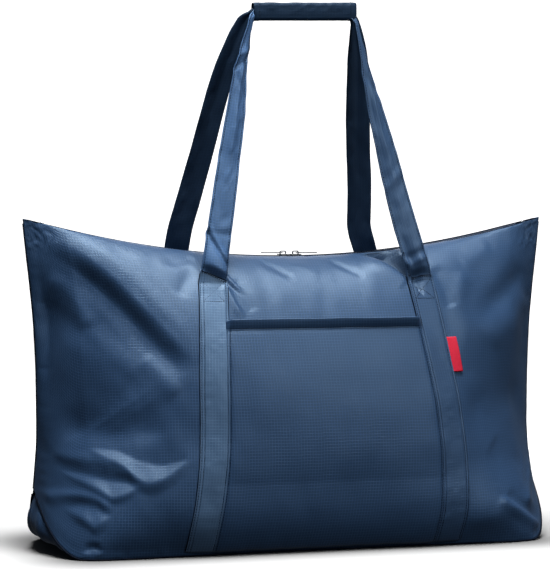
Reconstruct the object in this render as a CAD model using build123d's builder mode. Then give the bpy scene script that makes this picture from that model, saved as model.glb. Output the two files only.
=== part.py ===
from build123d import *
import os
from math import atan2, cos, degrees, hypot, pi, radians, sin, sqrt

# Foldable travel tote in thin ripstop fabric.
# Frame: +X to the right along the bag's width, -Y is the pocket side, +Z up,
# origin on the floor under the middle of the bag. Millimetres.

# ---------------------------------------------------------------- dimensions
CLOTH = 0.9  # thickness of one layer of coated ripstop
TAPE = 0.8  # zip tape thickness
GAP = 0.4  # air between two layers lying on each other

# the zip runs on one long circular arc that dips in the middle of the bag
ZIP_CZ = 1520.0  # height of the arc's centre
ZIP_R = 1178.0  # radius to the top face of the tape
ZIP_HALF = 316.0  # half length of the tape
COIL_HALF = 302.0  # half length of the coil
RIM_HALF = 11.0  # half width of the slot between the two rims
TIP_HALF = 1.2  # half width of the slot at the very tips
SPLIT = 0.6  # half of the split between the two zip halves

MID_RIM = ZIP_CZ - ZIP_R  # 342: height of the tape at the middle
END_RISE = 72.0  # height of the pointed ends of the base
U_END = 0.84  # where the base starts to rise, as a share of the half width
U_FLAT = 0.8235  # where the flat floor of the base ends

STRAP_W = 34.0  # webbing width
STRAP_TOP = 317.0  # the sewn run of the webbing ends here
HANDLE_Z = 318.0  # fold line of the handles
HANDLE_Y = 64.0  # its distance from the mid plane
GRIP_Z = 635.0  # centre of the grip
GRIP_X0, GRIP_X1 = -54.5, 74.5  # ends of the wrapped grip
BAR_Y_FRONT = -29.9  # mid plane of the front strap inside the grip
BAR_Y_REAR = -24.5  # mid plane of the rear strap inside the grip
BAR_T = 3.2  # folded webbing in the grip
BAR_H = 16.5

POCKET_TOP = 269.0
POCKET_BOTTOM = 9.0

os.makedirs("parts", exist_ok=True)


# ------------------------------------------------------------ body definition
def smooth(points, x):
    """Monotone cubic interpolation in a list of (x, value) pairs."""
    n = len(points)
    if x <= points[0][0]:
        return points[0][1]
    if x >= points[-1][0]:
        return points[-1][1]
    k = max(i for i in range(n - 1) if points[i][0] <= x)
    slopes = [
        (points[i + 1][1] - points[i][1]) / (points[i + 1][0] - points[i][0])
        for i in range(n - 1)
    ]

    def tangent(i):
        if i == 0:
            return slopes[0]
        if i == n - 1:
            return slopes[-1]
        a, b = slopes[i - 1], slopes[i]
        return 0.0 if a * b <= 0 else 2 * a * b / (a + b)

    x0, y0 = points[k]
    x1, y1 = points[k + 1]
    h = x1 - x0
    t = (x - x0) / h
    m0, m1 = tangent(k) * h, tangent(k + 1) * h
    return (
        y0 * (1 + 2 * t) * (1 - t) ** 2
        + m0 * t * (1 - t) ** 2
        + y1 * t * t * (3 - 2 * t)
        + m1 * t * t * (t - 1)
    )


# half width of the body against height
HALF_WIDTH = [(0, 323), (30, 321), (60, 317), (90, 314), (140, 311), (200, 311.5),
              (260, 314), (310, 318.5), (345, 322.5), (388, 327)]
# middle section: how far the fabric stands out from the mid plane, running
# from the floor to the rim, as (height, half depth)
SECTION = [(0.0, 104), (12, 110), (30, 116.5), (60, 121.5), (100, 123.5), (150, 120),
           (200, 112), (240, 101), (270, 89.5), (290, 79.5), (310, 66), (325, 52),
           (335, 38), (341.3, 27), (343.6, 19), (343.9, 15), (343.4, 11)]
# fullness of the horizontal section: large is boxy, 2 is a lens
FULLNESS = [(0, 15), (30, 9.5), (60, 6.4), (100, 4.4), (150, 3.5), (200, 3.1),
            (260, 2.8), (310, 2.6), (343, 2.4)]


def half_width(z):
    return smooth(HALF_WIDTH, z)


def zip_height(x):
    """Height of the top face of the zip tape."""
    return ZIP_CZ - sqrt(ZIP_R**2 - x * x)


def base_height(u):
    """Height of the lower edge of a main panel."""
    s = max(0.0, (abs(u) - U_END) / (1 - U_END))
    return 1.3 + (END_RISE - 1.3) * s**2.4


def rim_half(u):
    """Half width of the slot between the rims."""
    s = max(0.0, (abs(u) - 0.86) / 0.14)
    return RIM_HALF + (TIP_HALF - RIM_HALF) * s**1.15


def section_path():
    """Arc length along the middle section at each of its points."""
    run = [0.0]
    for (z0, y0), (z1, y1) in zip(SECTION, SECTION[1:]):
        run.append(run[-1] + hypot(z1 - z0, y1 - y0))
    return run


RUN = section_path()
SEC_Z = [(r, p[0]) for r, p in zip(RUN, SECTION)]
SEC_Y = [(r, p[1]) for r, p in zip(RUN, SECTION)]


def fullness(u, zc, yc):
    g = 1 - abs(u) ** smooth(FULLNESS, zc)
    # the lower corners stand out a little further than the middle
    corner = 1 + 0.10 * u * u * max(0.0, 1 - zc / 150) ** 2
    return rim_half(u) + (yc - RIM_HALF) * g * corner


def body_point(u, w):
    """(x, half depth, z) of the outside of the body. u is -1 at the left
    seam and 1 at the right one; w is 0 at the floor and 1 at the rim."""
    r = w * RUN[-1]
    zc, yc = smooth(SEC_Z, r), smooth(SEC_Y, r)
    low, high = base_height(u), zip_height(326 * u)
    z = low + zc / MID_RIM * (high - low)
    x = u * half_width(z)
    return x, fullness(u, zc, yc), z


SEC = [(z, y) for z, y in SECTION if z < 343.8]


def depth_at(x, z):
    """Half depth of the body under the rim, at a point of its front."""
    u = x / half_width(z)
    low, high = base_height(u), zip_height(326 * u)
    zc = (z - low) / (high - low) * MID_RIM
    return fullness(u, zc, smooth(SEC, zc))


def lifted(x, z, side, lift):
    """A point at a distance above the body's front (-1) or back (+1)."""
    e = 1.0
    dx = (depth_at(x + e, z) - depth_at(x - e, z)) / (2 * e)
    dz = (depth_at(x, z + e) - depth_at(x, z - e)) / (2 * e)
    n = sqrt(1 + dx * dx + dz * dz)
    d = depth_at(x, z)
    return Vector(x - lift * dx / n, side * (d + lift / n), z - lift * dz / n)


def sheet(outside, inside):
    """Closed solid of one layer of cloth between two matching grids."""
    top = Face.make_surface_from_array_of_points(outside, tol=0.02)
    bottom = Face.make_surface_from_array_of_points(inside, tol=0.02)
    walls = []
    for rim in top.edges():
        middle = rim.position_at(0.5)
        other = min(bottom.edges(), key=lambda e: (e.position_at(0.5) - middle).length)
        walls.append(Face.make_surface_from_curves(rim, other))
    return Solid(Shell([top, bottom, *walls]))


def patch(left, right, z0, z1, side, lift, thick, nx=9, nz=21):
    """Sheet lying on the body between two edge lines x(z)."""
    outside, inside = [], []
    for j in range(nz):
        z = z0 + (z1 - z0) * j / (nz - 1)
        a, b = left(z), right(z)
        xs = [a + (b - a) * i / (nx - 1) for i in range(nx)]
        outside.append([lifted(x, z, side, lift + thick) for x in xs])
        inside.append([lifted(x, z, side, lift) for x in xs])
    return sheet(outside, inside)


def spread(n):
    """Even steps that close up towards both ends of -1..1."""
    return [sin(0.5 * pi * (2 * i / (n - 1) - 1)) for i in range(n)]


def inward(point, u, w, e=0.004):
    """Unit normal into the bag of a surface point(u, w) -> (x, y, z) whose
    u runs to the right and w upwards, seen from the front."""
    ua, ub, wa, wb = max(u - e, -1), min(u + e, 1), max(w - e, 0), min(w + e, 1)
    du = Vector(*point(ub, w)) - Vector(*point(ua, w))
    dw = Vector(*point(u, wb)) - Vector(*point(u, wa))
    return dw.cross(du).normalized()


def main_panel(side):
    def point(u, w):
        x, y, z = body_point(u, w)
        return x, -y, z

    outside, inside = [], []
    for j in range(45):
        w = j / 44
        rows = [(u, Vector(*point(u, w))) for u in spread(45)]
        outside.append([p for _, p in rows])
        inside.append([p + inward(point, u, w) * CLOTH for u, p in rows])
    if side > 0:
        outside = [[Vector(p.X, -p.Y, p.Z) for p in row] for row in outside]
        inside = [[Vector(p.X, -p.Y, p.Z) for p in row] for row in inside]
    return sheet(outside, inside)


FRONT, BACK = -1, 1

# ---------------------------------------------------------------- main panels
with BuildPart() as front_panel:
    add(main_panel(FRONT))
front_panel.part.label = "front_panel"

with BuildPart() as back_panel:
    add(main_panel(BACK))
back_panel.part.label = "back_panel"


# ------------------------------------------------------------------- the base
# a flat floor with a pointed, upturned end joined on at each side
def floor_outline(inset):
    pts = []
    for i in range(25):
        u = U_FLAT * (i / 12 - 1)
        x, y, _ = body_point(u, 0.0)
        pts.append((x, y - inset))
    return pts


def end_piece(sign):
    """The upturned end of the base, from the floor to its tip."""
    def point(i, t):
        s = i / 12
        u = U_FLAT + 0.0045 + (0.9955 - U_FLAT - 0.006) * s
        x, y, z = body_point(min(u, 1.0), 0.0)
        swell = 4 * s * (1 - s) * (1 - t * t)
        low = z - 1.6 - 1.5 * swell
        return Vector(sign * (x - 1.0 + 24 * swell), max(y - 1.4, 1.2) * t,
                      0.6 + 0.5 * (low + sqrt(low * low + 0.8)))

    outside, inside = [], []
    for i in range(13):
        row_out, row_in = [], []
        for j in range(15):
            t = -1 + j / 7
            p = point(i, t)
            du = point(min(i + 0.2, 12), t) - point(max(i - 0.2, 0), t)
            dt = point(i, min(t + 0.02, 1)) - point(i, max(t - 0.02, -1))
            n = du.cross(dt) * sign
            row_out.append(p)
            row_in.append(p + n.normalized() * CLOTH)
        outside.append(row_out)
        inside.append(row_in)
    return sheet(outside, inside)


edge = floor_outline(1.2)
with BuildPart() as base_panel:
    with BuildSketch(Plane.XY):
        with BuildLine():
            low = Spline(*[(x, -y) for x, y in edge])
            high = Spline(*[(x, y) for x, y in edge])
            Line(low @ 0, high @ 0)
            Line(low @ 1, high @ 1)
        make_face()
    extrude(amount=CLOTH)
base_panel.part.label = "base_panel"

with BuildPart() as base_end_left:
    add(end_piece(-1))
base_end_left.part.label = "base_end_left"

with BuildPart() as base_end_right:
    add(end_piece(1))
base_end_right.part.label = "base_end_right"


# seam allowances bound with tape, inside the bag
def base_tape(side):
    pts = [(x, side * (y - 4.0)) for x, y in
           (body_point(-0.80 + 1.6 * i / 16, 0.0)[:2] for i in range(17))]
    back = [(x, y - side * 0.9) for x, y in pts]
    return pts, back


base_bindings = {}
for side in (FRONT, BACK):
    outer, inner = base_tape(side)
    with BuildPart() as binding:
        with BuildSketch(Plane.XY.offset(1.2)):
            with BuildLine():
                a = Spline(*outer)
                b = Spline(*inner)
                Line(a @ 0, b @ 0)
                Line(a @ 1, b @ 1)
            make_face()
        extrude(amount=8.0)
    base_bindings[side] = binding
base_binding_front = base_bindings[FRONT]
base_binding_front.part.label = "base_binding_front"
base_binding_back = base_bindings[BACK]
base_binding_back.part.label = "base_binding_back"

side_bindings = {}
for sign in (-1, 1):
    heights = [82 + (352 - 82) * i / 12 for i in range(13)]
    with BuildPart() as binding:
        with BuildSketch(Plane.XZ):
            with BuildLine():
                a = Spline(*[(sign * (half_width(z) - 3.0), z) for z in heights])
                b = Spline(*[(sign * (half_width(z) - 11.0), z) for z in heights])
                Line(a @ 0, b @ 0)
                Line(a @ 1, b @ 1)
            make_face()
        extrude(amount=0.4, both=True)
    side_bindings[sign] = binding
side_binding_left = side_bindings[-1]
side_binding_left.part.label = "side_binding_left"
side_binding_right = side_bindings[1]
side_binding_right.part.label = "side_binding_right"


# -------------------------------------------------------------- zip, on its arc
def arc_ring(rho0, rho1, y0, y1, half):
    """A stretch of a ring about the zip's centre, rho0 to rho1 from it."""
    a = degrees(atan2(half, ZIP_CZ - zip_height(half)))
    with BuildPart(mode=Mode.PRIVATE) as ring:
        with BuildSketch(Plane(origin=(0, y0, 0), x_dir=(1, 0, 0), z_dir=(0, -1, 0))):
            with BuildLine():
                t = radians(a)
                p = [(r * sin(s * t), ZIP_CZ - r * cos(s * t)) for r in (rho0, rho1) for s in (-1, 0, 1)]
                ThreePointArc(p[0], p[1], p[2])
                ThreePointArc(p[3], p[4], p[5])
                Line(p[0], p[3])
                Line(p[2], p[5])
            make_face()
        extrude(amount=-(y1 - y0))
    return ring.part


def rim_slot(x):
    return rim_half(x / 326)


def tape_outline(side):
    """Plan shape of one zip tape: full width, then tapering to the tips."""
    inner = SPLIT
    return [
        (-ZIP_HALF, side * inner), (ZIP_HALF, side * inner),
        (ZIP_HALF, side * 1.4), (296, side * 5.6), (272, side * 15.0),
        (-272, side * 15.0), (-296, side * 5.6), (-ZIP_HALF, side * 1.4),
    ]


zip_tapes = {}
zip_coils = {}
for side in (FRONT, BACK):
    with BuildPart() as tape:
        with BuildSketch(Plane.XY.offset(335)):
            with BuildLine():
                Polyline(*tape_outline(side), close=True)
            make_face()
        extrude(amount=60)
        y0, y1 = sorted((side * 0.1, side * 18.0))
        add(arc_ring(ZIP_R, ZIP_R + TAPE, y0, y1, 318.0), mode=Mode.INTERSECT)
    zip_tapes[side] = tape
    with BuildPart() as coil:
        y0, y1 = sorted((side * SPLIT, side * 3.0))
        add(arc_ring(ZIP_R - 2.4, ZIP_R, y0, y1, COIL_HALF))
    zip_coils[side] = coil
zip_tape_front, zip_tape_rear = zip_tapes[FRONT], zip_tapes[BACK]
zip_tape_front.part.label = "zip_tape_front"
zip_tape_rear.part.label = "zip_tape_rear"
zip_coil_front, zip_coil_rear = zip_coils[FRONT], zip_coils[BACK]
zip_coil_front.part.label = "zip_coil_front"
zip_coil_rear.part.label = "zip_coil_rear"


def on_zip(x, lift=0.0):
    """Work plane on the zip arc: local x along the zip, local z away from
    the bag, local y towards the back."""
    t = atan2(x, sqrt(ZIP_R**2 - x * x))
    r = ZIP_R - lift
    return Plane(origin=(r * sin(t), 0, ZIP_CZ - r * cos(t)),
                 x_dir=(cos(t), 0, sin(t)), z_dir=(-sin(t), 0, cos(t)))


# crimped end stops across both rows of the coil
zip_stops = {}
for sign in (-1, 1):
    with BuildPart() as stop:
        with BuildSketch(on_zip(sign * 305.0, 0.3)):
            RectangleRounded(4.0, 6.4, 0.8)
        extrude(amount=2.6)
        fillet(stop.faces().sort_by(Axis.Z)[-1].edges(), 0.4)
    zip_stops[sign] = stop
zip_stop_left, zip_stop_right = zip_stops[-1], zip_stops[1]
zip_stop_left.part.label = "zip_stop_left"
zip_stop_right.part.label = "zip_stop_right"

SLIDER_X = 8.0  # the two sliders stand side by side over the middle
PIVOT_X = 1.6  # pull's axle from the slider's middle, towards its own end
PIVOT_Z = 5.5  # and above the tape
PULL_L = 27.0
sliders = {}
pulls = {}
for sign in (-1, 1):
    plane = on_zip(sign * SLIDER_X)
    flat = Plane(origin=plane.origin, x_dir=plane.x_dir, z_dir=-plane.y_dir)
    with BuildPart() as slider:
        # top plate, blunt at the front and narrower at the tail
        with BuildSketch(plane.offset(2.8)):
            with BuildLine():
                Polyline((-6.4 * sign, -4.9), (3.5 * sign, -4.9), (6.4 * sign, -3.9),
                         (6.4 * sign, 3.9), (3.5 * sign, 4.9), (-6.4 * sign, 4.9), close=True)
            make_face()
        extrude(amount=1.1)
        # side flanges that keep the coils in
        with BuildSketch(plane.offset(0.5)):
            with Locations((-1.2 * sign, 4.45), (-1.2 * sign, -4.45)):
                Rectangle(9.0, 0.9)
        extrude(amount=2.4)
        # wedge between the two rows, and the plate under the tape
        with BuildSketch(plane.offset(-1.4)):
            with Locations((2.0 * sign, 0)):
                Rectangle(4.0, 0.8)
        extrude(amount=4.4)
        with BuildSketch(plane.offset(-2.3)):
            RectangleRounded(12.0, 9.0, 1.5)
        extrude(amount=1.0)
        # bridge that carries the pull
        with BuildSketch(flat):
            with BuildLine():
                Polyline((-4.2, 3.6), (-4.2, 6.4), (-2.9, 8.0), (2.9, 8.0), (4.2, 6.4), (4.2, 3.6),
                         (2.9, 3.6), (2.9, 6.0), (2.2, 6.8), (-2.2, 6.8), (-2.9, 6.0), (-2.9, 3.6),
                         close=True)
            make_face()
        extrude(amount=1.1, both=True)
    sliders[sign] = slider
    with BuildPart() as pull:
        # flat tag with a square eye, lying along the zip
        with BuildSketch(plane.offset(PIVOT_Z - 0.6)):
            with Locations(((PIVOT_X + 3.3) * sign, 0)):
                Rectangle(7.8, 5.8)
            with Locations(((PIVOT_X + 3.1) * sign, 0)):
                Rectangle(7.4, 2.9, mode=Mode.SUBTRACT)
            with BuildLine():
                x0, x1 = (PIVOT_X + 7.0) * sign, (PIVOT_X + PULL_L - 1.2) * sign
                Polyline((x0, -2.9), (x0 + 4 * sign, -2.3), (x1 - 4 * sign, -3.1),
                         (x1 - 1.2 * sign, -2.9), (x1, -1.8), (x1, 1.8),
                         (x1 - 1.2 * sign, 2.9), (x1 - 4 * sign, 3.1),
                         (x0 + 4 * sign, 2.3), (x0, 2.9), close=True)
            make_face()
            with Locations(((PIVOT_X + PULL_L - 6.5) * sign, 0)):
                SlotOverall(6.0, 2.2, mode=Mode.SUBTRACT)
        extrude(amount=1.2)
        # axle across the inner end of the eye, under the bridge
        with BuildSketch(Plane(origin=plane.origin + plane.x_dir * (PIVOT_X * sign)
                               + plane.z_dir * PIVOT_Z - plane.y_dir * 2.9,
                               x_dir=plane.x_dir, z_dir=plane.y_dir)):
            Circle(0.6)
        extrude(amount=5.8)
    pulls[sign] = pull
slider_left, slider_right = sliders[-1], sliders[1]
slider_left.part.label = "slider_left"
slider_right.part.label = "slider_right"
pull_left, pull_right = pulls[-1], pulls[1]
pull_left.part.label = "pull_left"
pull_right.part.label = "pull_right"

# ------------------------------------------------------- sewn webbing, pocket
FRONT_LEFT = [(6, -144), (31, -141), (72, -134), (124, -128), (204, -124.5), (270, -119.5),
              (312, -114.5), (330, -112)]
FRONT_RIGHT = [(6, 161), (18, 163), (50, 167.5), (98, 169), (134, 167), (180, 162.5),
               (225, 156), (272, 149.5), (318, 144), (330, 142)]
REAR_LEFT = [(6, -150), (80, -149), (160, -143), (240, -134), (330, -126)]
REAR_RIGHT = [(6, 150), (80, 149), (160, 143), (240, 134), (330, 126)]

HALF = STRAP_W / 2


def strap_run(line, side):
    return patch(lambda z: smooth(line, z) - HALF, lambda z: smooth(line, z) + HALF,
                 8.0, STRAP_TOP, side, GAP, 1.0, nx=5, nz=31)


strap_runs = {}
for name, line, side in (
    ("strap_front_left", FRONT_LEFT, FRONT), ("strap_front_right", FRONT_RIGHT, FRONT),
    ("strap_rear_left", REAR_LEFT, BACK), ("strap_rear_right", REAR_RIGHT, BACK),
):
    with BuildPart() as run:
        add(strap_run(line, side))
    run.part.label = name
    strap_runs[name] = run
strap_front_left = strap_runs["strap_front_left"]
strap_front_right = strap_runs["strap_front_right"]
strap_rear_left = strap_runs["strap_rear_left"]
strap_rear_right = strap_runs["strap_rear_right"]


def pocket_left(z):
    return smooth(FRONT_LEFT, z) + HALF + 0.8


def pocket_right(z):
    return smooth(FRONT_RIGHT, z) - HALF - 0.8


# the pocket stands a little off the bag so that its mouth is free
with BuildPart() as pocket_panel:
    add(patch(pocket_left, pocket_right, POCKET_BOTTOM, POCKET_TOP, FRONT, GAP + 0.9, CLOTH, nx=21, nz=25))
pocket_panel.part.label = "pocket_panel"

with BuildPart() as pocket_hem:
    add(patch(pocket_left, pocket_right, POCKET_TOP - 11, POCKET_TOP, FRONT, GAP + 2.1, CLOTH, nx=21, nz=5))
pocket_hem.part.label = "pocket_hem"

# blank woven tab sewn into the outer edge of the right front webbing
with BuildPart() as side_label:
    add(patch(lambda z: smooth(FRONT_RIGHT, z) + HALF + 0.6,
              lambda z: smooth(FRONT_RIGHT, z) + HALF + 12.6,
              206.0, 247.0, FRONT, GAP + 0.4, 0.8, nx=5, nz=9))
side_label.part.label = "side_label"


# ---------------------------------------------------------------- the handles
def leg_line(x_list, y0, y1, z0, z1, tilt):
    """Places sections along a leg; x_list holds (z, x), both ends included."""
    out = []
    for k, z in enumerate(z0 + (z1 - z0) * i / 7 for i in range(8)):
        f = (z - z0) / (z1 - z0)
        w = smooth([(0, STRAP_W), (0.35, 27.0), (0.7, 18.5), (1, 13.0)], f)
        t = smooth([(0, 1.4), (0.35, 1.8), (0.7, 2.6), (1, BAR_T)], f)
        yaw = tilt * sin(pi * f) ** 1.0
        out.append((smooth(x_list, z), y0 + (y1 - y0) * f, z, w, t, yaw))
    return out


TOP_Z = GRIP_Z + BAR_H / 2
FOLD_Z = HANDLE_Z + 0.8
front_leg_left = leg_line([(318, -113.5), (347, -108.5), (457, -90), (560, -73), (620, -64.5), (644, -62.5)],
                          -HANDLE_Y, BAR_Y_FRONT, FOLD_Z, TOP_Z, 8)
front_leg_right = leg_line([(318, 144), (349, 135.5), (447, 113), (540, 91), (600, 84), (644, 82.5)],
                           -HANDLE_Y, BAR_Y_FRONT, FOLD_Z, TOP_Z, -8)
rear_leg_left = leg_line([(318, -131), (350, -127), (452, -108), (540, -92), (590, -76), (644, -63)],
                         HANDLE_Y, BAR_Y_REAR, FOLD_Z, TOP_Z, -6)
rear_leg_right = leg_line([(318, 118), (340, 112), (475, 98), (545, 91), (598, 85), (644, 82.5)],
                          HANDLE_Y, BAR_Y_REAR, FOLD_Z, TOP_Z, 6)

handles = {}
for name, left, right, y_bar in (
    ("handle_strap_front", front_leg_left, front_leg_right, BAR_Y_FRONT),
    ("handle_strap_rear", rear_leg_left, rear_leg_right, BAR_Y_REAR),
):
    with BuildPart() as handle:
        for sections in (left, right):
            for x, y, z, w, t, yaw in sections:
                a = radians(yaw)
                across = (cos(a), sin(a), 0)
                with BuildSketch(Plane(origin=(x, y, z), x_dir=across, z_dir=(0, 0, 1))):
                    Rectangle(w, t)
            loft()
        xa, xb = left[-1][0] - 5.5, right[-1][0] + 5.5
        with Locations(((xa + xb) / 2, y_bar, GRIP_Z)):
            Box(xb - xa, BAR_T - 0.2, BAR_H - 1.0)
    handle.part.label = name
    handles[name] = handle
handle_strap_front = handles["handle_strap_front"]
handle_strap_rear = handles["handle_strap_rear"]

# the grip wrap closes round both straps; each strap carries one half of it
MEET = (BAR_Y_FRONT + BAR_Y_REAR) / 2
WRAP_T = 1.0
WRAP_H = BAR_H + 3.2
grips = {}
hooks = {}
for side, y_bar, wrap_name, tape_name in (
    (FRONT, BAR_Y_FRONT, "grip_wrap_front", "grip_hook_tape"),
    (BACK, BAR_Y_REAR, "grip_wrap_rear", "grip_loop_tape"),
):
    outer = y_bar + side * (BAR_T / 2 + 0.4 + WRAP_T)
    inner = MEET + side * 0.15
    with BuildPart() as wrap:
        with BuildSketch(Plane(origin=(GRIP_X0, 0, GRIP_Z), x_dir=(0, 1, 0), z_dir=(1, 0, 0))):
            with Locations(((outer + inner) / 2, 0)):
                Rectangle(abs(outer - inner), WRAP_H)
            with Locations(((outer - side * WRAP_T + inner) / 2, 0)):
                Rectangle(abs(outer - side * WRAP_T - inner) + 0.01, WRAP_H - 2 * WRAP_T, mode=Mode.SUBTRACT)
        extrude(amount=GRIP_X1 - GRIP_X0)
        fillet(wrap.edges().filter_by(Axis.X).group_by(Axis.Y)[0 if side == FRONT else -1], 0.9)
    grips[wrap_name] = wrap
    wrap.part.label = wrap_name
    face = y_bar - side * (BAR_T / 2 + 0.05)
    with BuildPart() as tape:
        with Locations(((GRIP_X0 + GRIP_X1) / 2, (face + inner) / 2, GRIP_Z)):
            Box(GRIP_X1 - GRIP_X0 - 12, abs(face - inner), 13.0)
    tape.part.label = tape_name
    hooks[tape_name] = tape
grip_wrap_front, grip_wrap_rear = grips["grip_wrap_front"], grips["grip_wrap_rear"]
grip_hook_tape, grip_loop_tape = hooks["grip_hook_tape"], hooks["grip_loop_tape"]

# --------------------------------------- the pouch the bag folds into, inside
POUCH_W, POUCH_H = 190.0, 150.0
POUCH_Y = 56.0
POUCH_Z = 222.0  # centre height
with BuildPart() as pouch_back:
    with BuildSketch(Plane(origin=(0, POUCH_Y, POUCH_Z), x_dir=(1, 0, 0), z_dir=(0, -1, 0))):
        RectangleRounded(POUCH_W, POUCH_H, 6)
    extrude(amount=-CLOTH)
pouch_back.part.label = "pouch_back"

ZIP_LINE = POUCH_Z + POUCH_H / 2 - 16  # the pouch's own zip
with BuildPart() as pouch_front:
    with BuildSketch(Plane(origin=(0, POUCH_Y - 2.6, 0), x_dir=(1, 0, 0), z_dir=(0, -1, 0))):
        with Locations((0, (ZIP_LINE - 4 + POUCH_Z - POUCH_H / 2) / 2)):
            Rectangle(POUCH_W, ZIP_LINE - 4 - (POUCH_Z - POUCH_H / 2))
    extrude(amount=CLOTH)
pouch_front.part.label = "pouch_front"

with BuildPart() as pouch_zip_tape:
    for dz in (-1, 1):
        with Locations((0, POUCH_Y - 2.2, ZIP_LINE + dz * 5.3)):
            Box(POUCH_W - 8, 0.6, 9.4)
pouch_zip_tape.part.label = "pouch_zip_tape"

with BuildPart() as pouch_zip_coil:
    for dz in (-1, 1):
        with Locations((0, POUCH_Y - 3.3, ZIP_LINE + dz * 1.3)):
            Box(POUCH_W - 24, 1.4, 1.5)
pouch_zip_coil.part.label = "pouch_zip_coil"

PS_X = 70.0
with BuildPart() as pouch_slider:
    with Locations((PS_X, POUCH_Y - 5.0, ZIP_LINE)):
        Box(8.0, 0.9, 6.4)
    with Locations((PS_X, POUCH_Y - 2.9, ZIP_LINE)):
        Box(2.6, 4.0, 0.7)
    with Locations((PS_X, POUCH_Y - 1.2, ZIP_LINE)):
        Box(7.0, 0.8, 5.6)
    # bridge for the pull
    with BuildSketch(Plane(origin=(PS_X, POUCH_Y, ZIP_LINE), x_dir=(0, 0, 1), z_dir=(1, 0, 0))):
        with BuildLine():
            Polyline((-2.6, 5.0), (-2.6, 8.2), (2.6, 8.2), (2.6, 5.0), (1.7, 5.0), (1.7, 7.3),
                     (-1.7, 7.3), (-1.7, 5.0), close=True)
        make_face()
    extrude(amount=0.8, both=True)
pouch_slider.part.label = "pouch_slider"

with BuildPart() as pouch_pull:
    with BuildSketch(Plane(origin=(PS_X, POUCH_Y - 5.9, ZIP_LINE), x_dir=(1, 0, 0), z_dir=(0, -1, 0))):
        with Locations((0, -9.0)):
            Rectangle(4.6, 19.0)
        with Locations((0, -1.9)):
            Rectangle(2.4, 3.8, mode=Mode.SUBTRACT)
    extrude(amount=0.8)
pouch_pull.part.label = "pouch_pull"

# tape that hangs the pouch from the seam under the back rim
with BuildPart() as pouch_hanger:
    with BuildSketch(Plane(origin=(-60, 0, 0), x_dir=(0, 1, 0), z_dir=(1, 0, 0))):
        with BuildLine():
            Polyline((POUCH_Y + 2.0, POUCH_Z + 40), (POUCH_Y + 2.0, 305), (24.6, 339.2),
                     (24.0, 338.5), (POUCH_Y + 1.2, 304.6), (POUCH_Y + 1.2, POUCH_Z + 40),
                     close=True)
        make_face()
    extrude(amount=120)
pouch_hanger.part.label = "pouch_hanger"

# blank care label hanging from the back base seam, inside
with BuildPart() as care_label:
    with Locations((200, 96.0, 36.0)):
        Box(30.0, 0.5, 60.0)
care_label.part.label = "care_label"

# ------------------------------------------------------------------ write out
export_step(front_panel.part, "parts/front_panel.step")
export_step(back_panel.part, "parts/back_panel.step")
export_step(base_panel.part, "parts/base_panel.step")
export_step(base_end_left.part, "parts/base_end_left.step")
export_step(base_end_right.part, "parts/base_end_right.step")
export_step(base_binding_front.part, "parts/base_binding_front.step")
export_step(base_binding_back.part, "parts/base_binding_back.step")
export_step(side_binding_left.part, "parts/side_binding_left.step")
export_step(side_binding_right.part, "parts/side_binding_right.step")
export_step(zip_tape_front.part, "parts/zip_tape_front.step")
export_step(zip_tape_rear.part, "parts/zip_tape_rear.step")
export_step(zip_coil_front.part, "parts/zip_coil_front.step")
export_step(zip_coil_rear.part, "parts/zip_coil_rear.step")
export_step(zip_stop_left.part, "parts/zip_stop_left.step")
export_step(zip_stop_right.part, "parts/zip_stop_right.step")
export_step(slider_left.part, "parts/slider_left.step")
export_step(slider_right.part, "parts/slider_right.step")
export_step(pull_left.part, "parts/pull_left.step")
export_step(pull_right.part, "parts/pull_right.step")
export_step(strap_front_left.part, "parts/strap_front_left.step")
export_step(strap_front_right.part, "parts/strap_front_right.step")
export_step(strap_rear_left.part, "parts/strap_rear_left.step")
export_step(strap_rear_right.part, "parts/strap_rear_right.step")
export_step(pocket_panel.part, "parts/pocket_panel.step")
export_step(pocket_hem.part, "parts/pocket_hem.step")
export_step(side_label.part, "parts/side_label.step")
export_step(handle_strap_front.part, "parts/handle_strap_front.step")
export_step(handle_strap_rear.part, "parts/handle_strap_rear.step")
export_step(grip_wrap_front.part, "parts/grip_wrap_front.step")
export_step(grip_wrap_rear.part, "parts/grip_wrap_rear.step")
export_step(grip_hook_tape.part, "parts/grip_hook_tape.step")
export_step(grip_loop_tape.part, "parts/grip_loop_tape.step")
export_step(pouch_back.part, "parts/pouch_back.step")
export_step(pouch_front.part, "parts/pouch_front.step")
export_step(pouch_zip_tape.part, "parts/pouch_zip_tape.step")
export_step(pouch_zip_coil.part, "parts/pouch_zip_coil.step")
export_step(pouch_slider.part, "parts/pouch_slider.step")
export_step(pouch_pull.part, "parts/pouch_pull.step")
export_step(pouch_hanger.part, "parts/pouch_hanger.step")
export_step(care_label.part, "parts/care_label.step")
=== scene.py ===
import json
import math

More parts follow.
